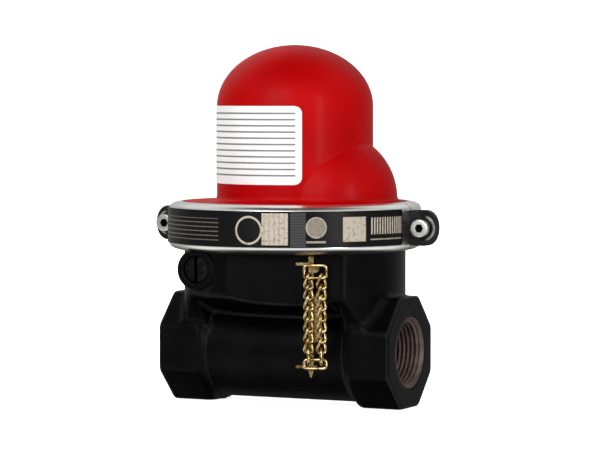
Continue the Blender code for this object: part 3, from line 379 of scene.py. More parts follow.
def colour(red, green, blue):
    """A paint colour from its three 0 to 255 display levels, as the shader's linear values."""
    level = np.array([red, green, blue]) / 255
    linear = np.where(level < 0.04045, level / 12.92, ((level + 0.055) / 1.055) ** 2.4)
    return (*linear.tolist(), 1.0)


def material(name, **fixed):
    """A new Principled material: gives it, a wire of object coordinates, and a way to fill it."""
    made = bpy.data.materials.new(name)
    made.use_nodes = True
    shader = made.node_tree.nodes["Principled BSDF"]
    start = Wire(made.node_tree)
    for socket, value in fixed.items():
        title = socket.replace("_", " ").title().replace("Ior", "IOR")
        shader.inputs[title].default_value = value
    place = start.node("TexCoord", output="Object")

    def fill(**sockets):
        """Feeds the shader's named sockets with wires."""
        for socket, value in sockets.items():
            start.put(shader.inputs[socket.replace("_", " ").title()], value)

    return made, place, fill


black_enamel, place, fill = material("black_enamel", specular_ior_level=0.06)
convexity = place.attribute("bend")
cloud = place.noise(90.0, 3.0)
sand = place.noise(1100.0, 3.0, 0.6)
lumps = place.noise(260.0, 2.0)
# Convex edges are painted lighter grey: partly edge wear, partly a painted highlight along them.
edge_wear_and_highlight = (convexity + (cloud - 0.5) * 0.5).step(0.42, 0.95)
# Concave creases and fillets are painted lighter: partly dust, partly a painted highlight along
# the fillets.
dust_and_crease_highlight = (0 - convexity + (cloud - 0.5) * 0.4).step(0.12, 0.6)
paint = cloud.step(0.3, 0.8).mix(colour(4, 4, 5), colour(9, 9, 10))
paint = (edge_wear_and_highlight * 0.5).mix(paint, colour(46, 46, 48))
paint = (dust_and_crease_highlight * 0.3).mix(paint, colour(62, 62, 60))
fill(
    base_color=paint,
    roughness=0.28 + cloud * 0.14 + sand * 0.08 + dust_and_crease_highlight * 0.12,
    normal=(sand * 0.55 + lumps * 0.45).bump(0.00016, 0.75),
)

cast_step = 0.00092
points, faces, bend = cast_skin(body_distance, body_low, body_high, cast_step)
points = np.clip(points, body_low, body_high)
casting = piece_from(
    "cast_body",
    points,
    faces,
    black_enamel,
    "valve_body",
    ["body_casting"],
    tidy=False,
)
write_attribute(casting, "bend", bend)


# THE PORTS. Each end is bored and cut with a tapered pipe thread, which is left unpainted
# and has gone brown with thread oil. The mouth is faced and chamfered so that the pipe starts.

thread_pitch = 0.0254 / 14
thread_depth = 0.0011
thread_crest = 1.18
thread_start = 0.0002
thread_fade_in = 0.0016
thread_fade_out = 0.0020
pipe_taper = 1 / 32
bore_radius = 0.01225
mouth_chamfer = 0.0013
port_wall = 0.0142
port_rim = 0.0003
port_lift = 0.00002
port_columns = 120


def grid_faces(rows, columns, wrap_rows=False, wrap_columns=True):
    """The quads that join each point of a grid to the next in its row and its column."""
    row = np.arange(rows if wrap_rows else rows - 1)[:, None]
    column = np.arange(columns if wrap_columns else columns - 1)[None, :]
    row_after = (row + 1) % rows * columns
    column_after = (column + 1) % columns
    row = row * columns
    corners = [row + column, row + column_after, row_after + column_after, row_after + column]
    return np.stack(corners, axis=-1).reshape(-1, 4)


def skin(name, grid, finish, body, replaced=(), wrap_rows=False, sharp=40):
    """Joins a grid's loops into one closed piece. Open ends are closed on their middle points."""
    if not wrap_rows:
        middles = [np.broadcast_to(end.mean(0), end.shape)[None] for end in (grid[0], grid[-1])]
        grid = np.concatenate([middles[0], grid, middles[1]])
    faces = grid_faces(grid.shape[0], grid.shape[1], wrap_rows)
    return piece_from(name, grid, faces, finish, body, replaced, sharp)


def round_turns(count):
    """Bearings evenly round a circle, as whole shares of two pi."""
    return np.arange(count) * 2 * math.pi / count


def turned(radius, height, columns, axis="z", centre=(0.0, 0.0, 0.0)):
    """Points of an outline turned round an axis: radius times cosine and sine, at its height.

    Radius and height hold a value for each row, or for each row and column.
    """
    radius, height = (np.asarray(a, float) for a in (radius, height))
    radius, height = (a[:, None] if a.ndim == 1 else a for a in (radius, height))
    angle = round_turns(columns)
    across, forth, up = np.broadcast_arrays(radius * np.cos(angle), radius * np.sin(angle), height)
    order = {"z": (across, forth, up), "y": (across, up, forth), "x": (up, across, forth)}
    return np.stack(order[axis], axis=-1) + np.asarray(centre, float)


def soften(outline, radius, steps=4, closed=True):
    """Rounds each corner of an outline with a parabola that starts and ends a radius away."""
    corner = np.asarray(outline, float)
    before = np.roll(corner, 1, 0) - corner
    after = np.roll(corner, -1, 0) - corner
    before_length = np.linalg.norm(before, axis=1, keepdims=True)
    after_length = np.linalg.norm(after, axis=1, keepdims=True)
    reach = np.minimum(radius, 0.45 * np.minimum(before_length, after_length))
    start = corner + before / before_length * reach
    end = corner + after / after_length * reach
    t = np.linspace(0, 1, steps)[None, :, None]
    curve = (1 - t) ** 2 * start[:, None] + 2 * t * (1 - t) * corner[:, None] + t**2 * end[:, None]
    if closed:
        return curve.reshape(-1, 2)
    return np.concatenate([corner[:1], curve[1:-1].reshape(-1, 2), corner[-1:]])


oiled_thread, place, fill = material("oiled_thread", metallic=0.55, specular_ior_level=0.5)
stain = place.noise(240.0, 4.0)
streak = place.scaled((60.0, 900.0, 900.0)).noise(1.0, 2.0)
fill(
    base_color=stain.step(0.3, 0.75).mix(colour(84, 70, 68), colour(112, 94, 88)),
    roughness=0.40 + stain * 0.22,
    normal=(streak * 0.5 + place.noise(1500.0) * 0.5).bump(0.00005, 0.5),
)

depth = np.linspace(0.0, port_depth, 150)[:, None]
angle = round_turns(port_columns)
fade_in = np.clip((depth - thread_start) / thread_fade_in, 0, 1)
fade = fade_in * np.clip((port_depth - depth) / thread_fade_out, 0, 1)
mouth = bore_radius + mouth_chamfer - depth
for side, port_name in ((1, "inlet"), (-1, "outlet")):
    turn = (depth / thread_pitch + side * angle / (2 * math.pi)) % 1.0
    ridge = np.clip(thread_crest * (1 - 2 * np.abs(turn - 0.5)), 0.0, 1.0)
    thread = bore_radius + thread_depth * (1 - ridge * fade) - depth * pipe_taper
    inner = np.maximum(thread, mouth + thread_depth * 0.6)
    outside = np.array([port_wall, port_wall, port_wall - port_rim])
    radius = np.concatenate([outside[:, None] + 0 * angle, inner])
    along = np.concatenate([[port_depth, port_rim, 0.0], depth[:, 0]])
    grid = turned(
        radius,
        side * (half_length + port_lift - along),
        port_columns,
        "x",
        (0, 0, pipe_height),
    )
    skin(port_name + "_thread", grid, oiled_thread, "valve_body", wrap_rows=True, sharp=50)


# THE RESET BOSS. A round boss cast on the front of the neck, faced and bored on a drill press.
# The blackened head of the reset shaft sits down inside it, with a slot for a screwdriver.

recess_radius = 0.0054
recess_floor = -boss_face + 0.0034
boss_root = -0.0345
boss_outline = [
    (boss_radius, boss_root),
    (boss_radius, -boss_face),
    (recess_radius, -boss_face),
    (recess_radius, recess_floor),
    (bearing_radius, recess_floor),
    (bearing_radius, boss_root),
]
outline = soften(boss_outline, 0.0006)
boss_centre = (shaft_place, 0.0, shaft_height)
boss_points = turned(outline[:, 0], outline[:, 1], 120, "y", boss_centre)
boss_points[..., 2] = np.minimum(boss_points[..., 2], boss_top)
boss = skin(
    "reset_boss_rim",
    boss_points,
    black_enamel,
    "valve_body",
    wrap_rows=True,
)
write_attribute(boss, "bend", np.zeros(len(boss.data.vertices)))

shaft_low, shaft_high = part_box("reset_shaft")

black_oxide, place, fill = material("black_oxide_steel", metallic=1.0)
cloud = place.noise(400.0, 3.0)
rings = place.scaled((1.0, 30.0, 1.0)).noise(900.0, 2.0)
# The slot's floor is painted near black: partly grime, partly painted shade in the recess.
grime_and_shade = place.attribute("inside")
oxide = cloud.step(0.35, 0.75).mix(colour(22, 22, 24), colour(42, 41, 41))
fill(
    base_color=grime_and_shade.mix(oxide, colour(5, 5, 5)),
    roughness=0.38 + cloud * 0.2 + grime_and_shade * 0.25,
    normal=rings.bump(0.00003, 0.5),
)

head_radius = (shaft_high.x - shaft_low.x) / 2
head_foot = recess_floor - 0.0003
shaft_radius = 0.0030
shaft_outline = [
    (0.0, shaft_low.y),
    (head_radius, shaft_low.y),
    (head_radius, head_foot),
    (shaft_radius, head_foot),
    (shaft_radius, shaft_high.y),
    (0.0, shaft_high.y),
]
outline = soften(shaft_outline, 0.00035, closed=False)
shaft = skin(
    "slotted_reset_shaft",
    turned(outline[:, 0], outline[:, 1], 64, "y", boss_centre),
    black_oxide,
    "flapper",
    ["reset_shaft"],
)


def points_of(piece):
    """The places of a piece's points, one row each."""
    return np.array([point.co for point in piece.data.vertices])


slot_half_width = 0.0007
slot_depth = 0.0012
slot_cutter = bmesh.new()
bmesh.ops.create_cube(slot_cutter, size=1.0)
cutter_mesh = bpy.data.meshes.new("slot_cutter")
slot_cutter.to_mesh(cutter_mesh)
slot_cutter.free()
cutter = bpy.data.objects.new("slot_cutter", cutter_mesh)
bpy.context.scene.collection.objects.link(cutter)
cutter.scale = (2 * slot_half_width, 2 * slot_depth, 4 * head_radius)
cutter.location = (shaft_place, shaft_low.y, shaft_height)
cut = shaft.modifiers.new("slot", "BOOLEAN")
cut.solver = "EXACT"
cut.object = cutter
with bpy.context.temp_override(object=shaft, active_object=shaft):
    bpy.ops.object.modifier_apply(modifier="slot")
bpy.data.objects.remove(cutter)
shaft.data.set_sharp_from_angle(angle=math.radians(40))
# Marks the points at the slot's floor, which the finish paints near black as grime and painted
# shade.
points = points_of(shaft)
off_middle = np.abs(points[:, 0] - shaft_place)
deep = points[:, 1] > shaft_low.y + 0.9 * slot_depth
write_attribute(shaft, "inside", deep & (off_middle < 1.01 * slot_half_width))


# THE CAP. A thin casting in glossy red enamel, which covers the ball. It is a tall dome, with a
# round lobe on the inlet side for the ball to roll into, and a flange that the clamp holds.

cap_low, cap_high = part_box("dome_cap")
dome_radius = 0.0316
shoulder_height = 0.1200
crown_rise = cap_high.z - shoulder_height
lobe_place = 0.0154
lobe_radius = 0.0273
lobe_height = 0.0830
flange_top = 0.0820
cap_flange_radius = flange_radius - 0.0008
flange_land = 0.0787
cap_hub_radius = 0.0442
cap_round = 0.0008
hub_land = 0.0806
foot_fillet = 0.0022
cap_wall = 0.0018
cap_columns = 360


def cap_radius(angle, height, inset=0.0):
    """How far the cap's wall is from the dome's axis, in one direction and at one height.

    It is the larger of two reaches, with the crease between them filled: the dome's own, which
    is an ellipse above the shoulder, and the far side of the lobe's ball or post as a ray from
    the axis meets it: place times cosine plus the root of radius squared less what is crossed.
    """
    over = np.clip((height - shoulder_height) / (crown_rise - inset), 0.0, 1.0)
    dome = (dome_radius - inset) * np.sqrt(1 - over**2)
    above = np.maximum(height - lobe_height, 0.0)
    across = (lobe_radius - inset) ** 2 - above**2 - (lobe_place * np.sin(angle)) ** 2
    lobe = lobe_place * np.cos(angle) + np.sqrt(np.maximum(across, 0.0))
    lobe = np.where(across > 0, lobe, 0.0)
    return blend_high(dome, lobe, 0.0006) if inset == 0 else np.maximum(dome, lobe)


angle = round_turns(cap_columns)
turn = np.linspace(0.0, math.pi / 2, 9)[:, None]
fillet_height = flange_top + foot_fillet * (1 - np.cos(turn))
fillet_radius = cap_radius(angle, fillet_height) + foot_fillet * (1 - np.sin(turn))
fillet_radius = np.minimum(fillet_radius, cap_hub_radius - cap_round)
wall_height = np.linspace(flange_top + foot_fillet, shoulder_height, 112)[1:, None]
crown_turn = np.linspace(0.0, math.pi / 2, 44)[1:-1, None]
crown_height = shoulder_height + crown_rise * np.sin(crown_turn)
flange_outline = [
    (dome_radius + 0.0040, cap_low.z),
    (cap_flange_radius, cap_low.z),
    (cap_flange_radius, flange_land),
    (cap_hub_radius, hub_land),
    (cap_hub_radius, flange_top),
    (cap_hub_radius - cap_round, flange_top),
]
flange = soften(flange_outline, 0.0006, closed=False)
radii = [
    flange[:, :1] + 0 * angle,
    fillet_radius,
    cap_radius(angle, wall_height),
    dome_radius * np.cos(crown_turn) + 0 * angle,
]
heights = [rise + 0 * angle for rise in (flange[:, 1:], fillet_height, wall_height, crown_height)]
inside_height = np.linspace(shoulder_height, cap_low.z, 40)[:, None]
inside_turn = np.linspace(math.pi / 2, 0.0, 18)[1:-1, None]
pole = np.zeros((1, cap_columns))
radii += [pole, pole, (dome_radius - cap_wall) * np.cos(inside_turn) + 0 * angle]
heights += [
    pole + cap_high.z,
    pole + cap_high.z - cap_wall,
    shoulder_height + (crown_rise - cap_wall) * np.sin(inside_turn) + 0 * angle,
]
radii.append(cap_radius(angle, inside_height, cap_wall))
heights.append(inside_height + 0 * angle)
radii[0] = np.maximum(radii[0], radii[-1][-1:] + 0.0002)

red_enamel, place, fill = material(
    "red_enamel", specular_ior_level=0.06, coat_weight=0.03, coat_roughness=0.22
)
cloud = place.noise(45.0, 3.0)
peel = place.noise(420.0, 2.0)
grain = place.noise(1400.0, 2.0)
paint = cloud.step(0.3, 0.75).mix(colour(170, 0, 3), colour(186, 2, 5))
fill(
    base_color=paint,
    roughness=0.40 + cloud * 0.10 + grain * 0.06,
    normal=(peel * 0.75 + grain * 0.25).bump(0.00012, 0.5),
)
rows = np.concatenate(radii)
levels = np.concatenate(heights)
skin(
    "red_cap",
    turned(rows, levels, cap_columns),
    red_enamel,
    "valve_body",
    ["dome_cap"],
    wrap_rows=True,
    sharp=50,
)


# THE LABEL. A blank white vinyl label with rounded corners, stuck round the dome's left side,
# with plain ruled lines for whoever installs the valve to write on.

view_azimuth = math.radians(25.5)
label_right = view_azimuth + math.radians(5.0)
label_left = view_azimuth - math.radians(116.0)
label_bottom = 0.0892
label_top = 0.1203
label_corner = 0.0030
label_lift = 0.00010
label_sheet = 0.00012
rule_pitch = 0.00245
rule_margin = 0.0022
rule_left = 0.0020
rule_right = 0.0025
print_edge = 0.0002


def sheet(name, front, back, finish, body, replaced=(), slot=None, sharp=50):
    """Joins the front and the back of a thin piece along all four of its edges."""
    rows, columns = front.shape[:2]
    face = grid_faces(rows, columns, wrap_columns=False)
    index = np.arange(rows * columns).reshape(rows, columns)
    border = np.concatenate([index[0, :-1], index[:-1, -1], index[-1, :0:-1], index[:0:-1, 0]])
    after = np.roll(border, -1)
    total = rows * columns
    rim = np.stack([border, after, after + total, border + total], axis=1)
    faces = np.concatenate([face, face[:, ::-1] + total, rim])
    points = np.concatenate([front.reshape(-1, 3), back.reshape(-1, 3)])
    return piece_from(name, points, faces, finish, body, replaced, sharp)


def wrapped(radius, bearing, height):
    """Points round the dome's axis, by their bearing from straight ahead, towards the inlet."""
    parts = radius * np.sin(bearing), -radius * np.cos(bearing), height + 0 * bearing
    return np.stack(np.broadcast_arrays(*parts), axis=-1)


def close_ended(middle, end):
    """Shares from -1 to 1 down a sheet, set closer in the tenth at each end, for its corners."""
    lower = np.linspace(-1, -0.8, end)[:-1]
    return np.concatenate([lower, np.linspace(-0.8, 0.8, middle), -lower[::-1]])[:, None]


def corner_reach(upward, half_height, corner):
    """How far a sheet's corners reach past their middles: the quarter circle's half chord."""
    rise = np.maximum(np.abs(upward) - (half_height - corner), 0.0)
    return np.sqrt(np.maximum(corner**2 - rise**2, 0))


label_width = (label_right - label_left) * dome_radius
label_height = label_top - label_bottom
across = np.linspace(-1, 1, 97)[None, :]
upward = close_ended(25, 9) * label_height / 2
reach = corner_reach(upward, label_height / 2, label_corner)
half_row = label_width / 2 - label_corner + reach
bearing = (label_left + label_right) / 2 + across * half_row / dome_radius
level = (label_bottom + label_top) / 2 + upward + 0 * bearing
label_radius = cap_radius(bearing - math.pi / 2, level) + label_lift

white_vinyl, place, fill = material("white_vinyl", specular_ior_level=0.35)
level_wire = place.attribute("level")
ruled = level_wire.off_stripe(rule_pitch).step(0.15, 0.12)
ruled = ruled * place.attribute("along").between(rule_left, label_width - rule_right, print_edge)
ruled = ruled * level_wire.between(rule_margin, label_height - rule_margin, print_edge)
fibre = place.noise(700.0, 3.0)
smudge = place.noise(60.0, 3.0)
paper = smudge.step(0.3, 0.8).mix(colour(254, 254, 253), colour(244, 244, 243))
fill(
    base_color=(ruled * 0.85).mix(paper, colour(84, 84, 88)),
    roughness=0.42 + fibre * 0.14,
    normal=fibre.bump(0.00002, 0.4),
)
label = sheet(
    "blank_label",
    wrapped(label_radius + label_sheet, bearing, level),
    wrapped(label_radius, bearing, level),
    white_vinyl,
    "valve_body",
    slot="red_cap",
)
points = points_of(label)
write_attribute(label, "level", points[:, 2] - label_bottom)
turned_by = np.arctan2(points[:, 0], -points[:, 1])
write_attribute(label, "along", (turned_by - label_left) * dome_radius)


# THE BAND CLAMP. Two halves rolled from bright stainless strip into a channel whose legs lean
# in over both flanges. Tightening the two screws wedges the cap down on its gasket.

band_height = 0.0720
band_radius = 0.0510
band_sheet = 0.0008
lower_leg = [(0.0462, -0.0095), (0.0509, -0.0090), (band_radius, -0.0066)]
upper_leg = [(band_radius, 0.0070), (0.0507, 0.0096), (0.0456, 0.0099)]
band_start = math.radians(0.4)

bright_strip, place, fill = material("bright_rolled_strip", metallic=1.0)
brushed = place.scaled((40.0, 40.0, 2200.0)).noise(1.0, 3.0)
cloud = place.noise(130.0, 3.0)
scratch = place.scaled((120.0, 120.0, 5000.0)).noise(1.0, 2.0).step(0.62, 0.74)
fill(
    base_color=cloud.step(0.3, 0.8).mix(colour(248, 248, 244), colour(234, 236, 230)),
    roughness=0.20 + brushed * 0.18 + scratch * 0.10,
    normal=(brushed * 0.7 + cloud * 0.3).bump(0.00003, 0.5),
)


def rolled_leg(start, bend, end):
    """Points of a leg rolled in a parabola, which leaves its start towards the bend."""
    share = np.linspace(0, 1, 14)[:, None]
    start, bend, end = (np.array(point) for point in (start, bend, end))
    return (1 - share) ** 2 * start + 2 * share * (1 - share) * bend + share**2 * end


path = np.concatenate([rolled_leg(*lower_leg), rolled_leg(*upper_leg)])
heading = np.gradient(path, axis=0)
heading /= np.linalg.norm(heading, axis=1, keepdims=True)
inner_path = path + band_sheet * np.stack([-heading[:, 1], heading[:, 0]], axis=1)
for half, side in (("front", -1), ("rear", 1)):
    angle = side * np.linspace(band_start, math.pi - band_start, 181)[:, None]
    faces_of_band = [
        np.stack([r * np.cos(angle), r * np.sin(angle), band_height + h + 0 * angle], axis=-1)
        for r, h in ((path[:, 0], path[:, 1]), (inner_path[:, 0], inner_path[:, 1]))
    ]
    sheet(
        f"clamp_{half}_band",
        *faces_of_band,
        bright_strip,
        "valve_body",
        [f"clamp_{half}_half"],
        "clamp_band",
        sharp=60,
    )


# THE LUGS. A rounded ear of blackened plate is welded to each end of each half. The two ears
# on a side stand back to back, and the clamp's screw passes through both.

lug_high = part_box("clamp_front_half")[1]
lug_sheet = 0.0016
lug_split = 0.00015
lug_half_height = 0.0071
screw_place = 0.0570
screw_radius = 0.0020
lug_reach = lug_high.x - screw_place
lug_root = screw_place - band_radius + 0.0006
lug_columns = 96

blackened, place, fill = material("blackened_plate", metallic=0.75, specular_ior_level=0.4)
cloud = place.noise(320.0, 3.0)
pits = place.noise(1600.0, 2.0)
x, y, z = place.split()
beyond = x.math("ABSOLUTE") - screw_place
above = z - band_height
off_screw = (beyond * beyond + above * above) ** 0.5
# A near-white crescent round each screw, on the ear's outer side: partly wear rubbed by the
# washer, partly a painted highlight on the ear's edge.
rubbed_and_highlight = off_screw.step(0.0036, 0.0042) * off_screw.step(0.0053, 0.0049)
rubbed_and_highlight = rubbed_and_highlight * beyond.step(0.0005, 0.0028) * (0.55 + 0.45 * cloud.step(0.3, 0.6))
oxide = cloud.step(0.35, 0.75).mix(colour(20, 20, 22), colour(44, 43, 44))
fill(
    base_color=(rubbed_and_highlight * 0.85).mix(oxide, colour(190, 190, 188)),
    roughness=0.36 + cloud * 0.16 + pits * 0.08,
    normal=(pits * 0.6 + cloud * 0.4).bump(0.00005, 0.6),
)

angle = round_turns(lug_columns)
cosine, sine = np.abs(np.cos(angle)), np.abs(np.sin(angle))
outer_side = np.cos(angle) > 0
squareness = np.where(outer_side, 2.2, 9.0)
half_reach = np.where(outer_side, lug_reach, lug_root)
lug_edge = (cosine / half_reach) ** squareness + (sine / lug_half_height) ** squareness
lug_edge = lug_edge ** (-1 / squareness)
screw_gap = 0.0003
hole = screw_radius + screw_gap
lug_back = lug_split + lug_sheet
outline = soften(
    [(0.0, lug_split), (1.0, lug_split), (1.0, lug_back), (0.0, lug_back)], 0.0005, 5
)
radius = hole + (lug_edge - hole) * np.clip(outline[:, :1], 0.0, 1.0)
for half, side in (("front", -1), ("rear", 1)):
    for end, place_name in ((1, "right"), (-1, "left")):
        points = turned(radius, side * outline[:, 1], lug_columns, "y")
        points[..., 0] *= end
        points += np.array([end * screw_place, 0.0, band_height])
        skin(
            f"clamp_{half}_lug_{place_name}",
            points,
            blackened,
            "valve_body",
            wrap_rows=True,
        )


# THE NAMEPLATE. A strip of thin black-anodised sheet wrapped round the front half of the
# clamp, and screen-printed in cream with blocks, rings, ruled rows and a row of plain ticks.

plate_low, plate_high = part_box("nameplate_strip")
plate_radius = -plate_low.y
plate_sheet = 0.0004
plate_turn = math.radians(81.0)
plate_corner = 0.0012
plate_bottom = plate_low.z + 0.0002
plate_top = plate_high.z + 0.0009
plate_height = plate_top - plate_bottom

plate_black, place, fill = material("anodised_plate", specular_ior_level=0.16)
along = place.attribute("bearing")
level = place.attribute("level")
soft_turn, soft_edge = 0.15, 0.00008


def field(left, right, bottom, top):
    """A mask of a printed block, from its bearings in degrees and its heights in metres."""
    across = along.between(left - soft_turn, right + soft_turn, 2 * soft_turn)
    return across * level.between(bottom - soft_edge, top + soft_edge, 2 * soft_edge)


def ring_field(centre, height, radius, width):
    """A mask of a printed ring: one where the distance from its centre is within its width."""
    across = (along - centre) * (math.radians(1.0) * plate_radius)
    distance = (across * across + (level - height) * (level - height)) ** 0.5
    off_line = (distance - radius).math("ABSOLUTE")
    return off_line.step(width / 2 + soft_edge, width / 2 - soft_edge)


tick_row = along.off_stripe(1.55).step(0.30, 0.22) * field(60.5, 80.0, 0.0048, 0.0114)
rule_rows = level.off_stripe(0.0017).step(0.16, 0.08) * field(-58.0, -10.0, 0.0024, 0.0111)
column_rules = 1 - along.off_stripe(2.2).step(0.10, 0.03) * 0.45
cream_block = field(11.0, 22.5, 0.0010, 0.0134) * column_rules
square_block = field(46.8, 58.0, 0.0022, 0.0118)
ring = ring_field(5.0, 0.0067, 0.0052, 0.0008)
second_ring = ring_field(34.8, 0.0078, 0.0038, 0.0007)
seal_face = ring_field(34.8, 0.0078, 0.0, 0.0068) * 0.5
under_rule = field(30.5, 39.0, 0.0018, 0.0026) + field(60.5, 80.0, 0.0026, 0.0031)
printed = cream_block + square_block * 0.95 + ring + second_ring * 0.75 + seal_face
printed = printed + under_rule * 0.7 + tick_row + rule_rows * 0.28
wear = place.noise(900.0, 4.0, 0.6)
cloud = place.noise(70.0, 3.0)
ink = printed.math("MINIMUM", 1.0) * (0.55 + 0.45 * wear.step(0.32, 0.5))
# A grey band with fine level lines is painted beside the cream block: a painted sheen on the black
# sheet.
painted_sheen_line = (level * (1 / 0.0011)).math("FRACT").step(0.3, 0.5)
painted_sheen = field(23.5, 30.2, 0.0004, 0.0138) * (0.55 + 0.45 * painted_sheen_line)
base = cloud.step(0.3, 0.8).mix(colour(7, 7, 8), colour(14, 14, 16))
base = (painted_sheen * 0.7).mix(base, colour(84, 84, 84))
fill(
    base_color=ink.mix(base, colour(196, 184, 168)),
    roughness=0.34 + cloud * 0.12 + ink * 0.15,
    normal=(wear * 0.3 + ink * 0.7).bump(0.00002, 0.5),
)

bearing = np.linspace(-1, 1, 241)[None, :]
upward = close_ended(13, 7) * plate_height / 2
reach = corner_reach(upward, plate_height / 2, plate_corner)
bearing = bearing * (plate_turn - (plate_corner - reach) / plate_radius)
level = (plate_bottom + plate_top) / 2 + upward + 0 * bearing
plate = sheet(
    "bare_nameplate",
    wrapped(plate_radius, bearing, level),
    wrapped(plate_radius - plate_sheet, bearing, level),
    plate_black,
    "valve_body",
    ["nameplate_strip"],
    "black_plate",
)
points = points_of(plate)
write_attribute(plate, "level", points[:, 2] - plate_bottom)
write_attribute(plate, "bearing", np.degrees(np.arctan2(points[:, 0], -points[:, 1])))


# THE CLAMP SCREWS. A zinc-plated socket-head screw joins each pair of ears, with a plain
# washer under its head and a chamfered hexagon nut on the far side.

zinc_plate, place, fill = material("zinc_plate", metallic=1.0)
# The attribute inside marks a screw's hex socket, which is painted near black: partly grime,
# partly painted shade in the recess.
inside = place.attribute("inside")
cloud = place.noise(500.0, 3.0)
grain = place.noise(2400.0, 2.0)
plated = cloud.step(0.3, 0.8).mix(colour(232, 234, 230), colour(196, 198, 192))
fill(
    base_color=inside.mix(plated, colour(14, 13, 13)),
    roughness=0.26 + cloud * 0.16 + inside * 0.4,
    normal=grain.bump(0.00003, 0.5),
)

screw_columns = 96
socket_flats = 0.0030
socket_depth = 0.0020
shank_pitch = 0.0007
shank_thread = 0.00034
shank_point = 0.0006
nut_thread = 0.0003
nut_chamfer = 0.0005
bore_chamfer = 0.0007
angle = round_turns(screw_columns)
six_turn = np.mod(angle, math.pi / 3) - math.pi / 6
six_sided = 1 / np.cos(six_turn)
for place_name, end in (("left", -1), ("right", 1)):
    centre = (end * screw_place, 0.0, band_height)
    low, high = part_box("clamp_screw_" + place_name)
    head_radius = (high.z - low.z) / 2
    washer_low, washer_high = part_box("clamp_washer_" + place_name)
    head_foot = washer_low.y - 0.0003
    head = soften(
        [(0.0, low.y), (head_radius, low.y), (head_radius, head_foot), (screw_radius, head_foot)],
        0.0005,
        5,
        closed=False,
    )[1:]
    socket = six_sided * socket_flats / 2
    socket_rows = [0 * angle, 0 * angle + socket_flats * 0.3, socket, socket, socket * 1.09]
    socket_floor = low.y + socket_depth
    socket_levels = [socket_floor + 0.0004, socket_floor, socket_floor - 0.0002]
    socket_levels += [low.y + 0.00012, low.y]
    shank = np.linspace(head_foot, high.y - shank_point, 150)
    turn = (shank[:, None] / shank_pitch + angle / (2 * math.pi)) % 1.0
    ridge = 1 - np.abs(2 * turn - 1)
    threaded = np.clip((shank[:, None] + 0.0003) / 0.0006, 0, 1)
    shank_radius = screw_radius - shank_thread * ridge * threaded
    tip = np.array([[screw_radius - shank_point], [0.0]]) + 0 * angle
    radius = np.concatenate([np.stack(socket_rows), head[:, :1] + 0 * angle, shank_radius, tip])
    level = np.concatenate([socket_levels, head[:, 1], shank, [high.y, high.y]])
    screw = skin(
        "socket_screw_" + place_name,
        turned(radius, level, screw_columns, "y", centre),
        zinc_plate,
        "valve_body",
        ["clamp_screw_" + place_name],
    )
    points = points_of(screw)
    across = np.hypot(points[:, 0] - centre[0], points[:, 2] - centre[2])
    sunk = (points[:, 1] > low.y + 0.0001) & (points[:, 1] < head_foot)
    # Marks the socket's inside points, which the finish paints near black as grime and painted
    # shade.
    write_attribute(screw, "inside", sunk & (across < socket_flats * 0.59))
    washer_radius = (washer_high.z - washer_low.z) / 2
    washer = soften(
        [
            (hole, washer_low.y),
            (washer_radius, washer_low.y),
            (washer_radius, washer_high.y),
            (hole, washer_high.y),
        ],
        0.0002,
    )
    skin(
        "plain_washer_" + place_name,
        turned(washer[:, 0], washer[:, 1], screw_columns, "y", centre),
        black_oxide,
        "valve_body",
        ["clamp_washer_" + place_name],
        wrap_rows=True,
    )
    nut_low, nut_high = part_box("clamp_nut_" + place_name)
    flats = nut_high.x - nut_low.x
    corner = flats / math.sqrt(3)
    near_face = np.linspace(nut_low.y, nut_low.y + nut_chamfer, 6)
    far_face = np.linspace(nut_high.y - nut_chamfer, nut_high.y, 6)
    nut_level = np.concatenate([near_face, far_face])[:, None]
    end_drop = np.minimum(nut_level - nut_low.y, nut_high.y - nut_level)
    nut_radius = np.minimum(six_sided * flats / 2, corner - nut_chamfer + end_drop * 1.6)
    bore_level = np.linspace(nut_high.y, nut_low.y, 60)[:, None]
    turn = (bore_level / shank_pitch + angle / (2 * math.pi)) % 1.0
    bore = hole + nut_thread * np.abs(2 * turn - 1)
    end_drop = np.minimum(bore_level - nut_low.y, nut_high.y - bore_level)
    bore = np.maximum(bore, screw_radius + bore_chamfer - end_drop)
    radius = np.concatenate([nut_radius, bore])
    level = np.concatenate([nut_level, bore_level])
    skin(
        "hexagon_nut_" + place_name,
        turned(radius, level, screw_columns, "y", centre),
        zinc_plate,
        "valve_body",
        ["clamp_nut_" + place_name],
        wrap_rows=True,
    )


# THE CHAIN. Two strands of drawn brass links hang from a stud in the flat, between a bail and
# an end ring of the same wire. The flat pointed key for the reset shaft hangs behind them.

brass_wire, place, fill = material("drawn_brass", metallic=1.0)
tarnish = place.noise(380.0, 4.0, 0.6)
fine = place.noise(2600.0, 2.0)
fill(
    base_color=tarnish.step(0.34, 0.66).mix(colour(226, 204, 152), colour(128, 96, 34)),
    roughness=0.14 + tarnish * 0.20,
    normal=fine.bump(0.00003, 0.5),
)

wire_radius = 0.00065
link_half_wide = 0.00105 + wire_radius
bail_half_wide = 0.00435
bail_corner = 0.00135
half_twist = math.radians(45.0)
link_steps = 48
wire_steps = 14


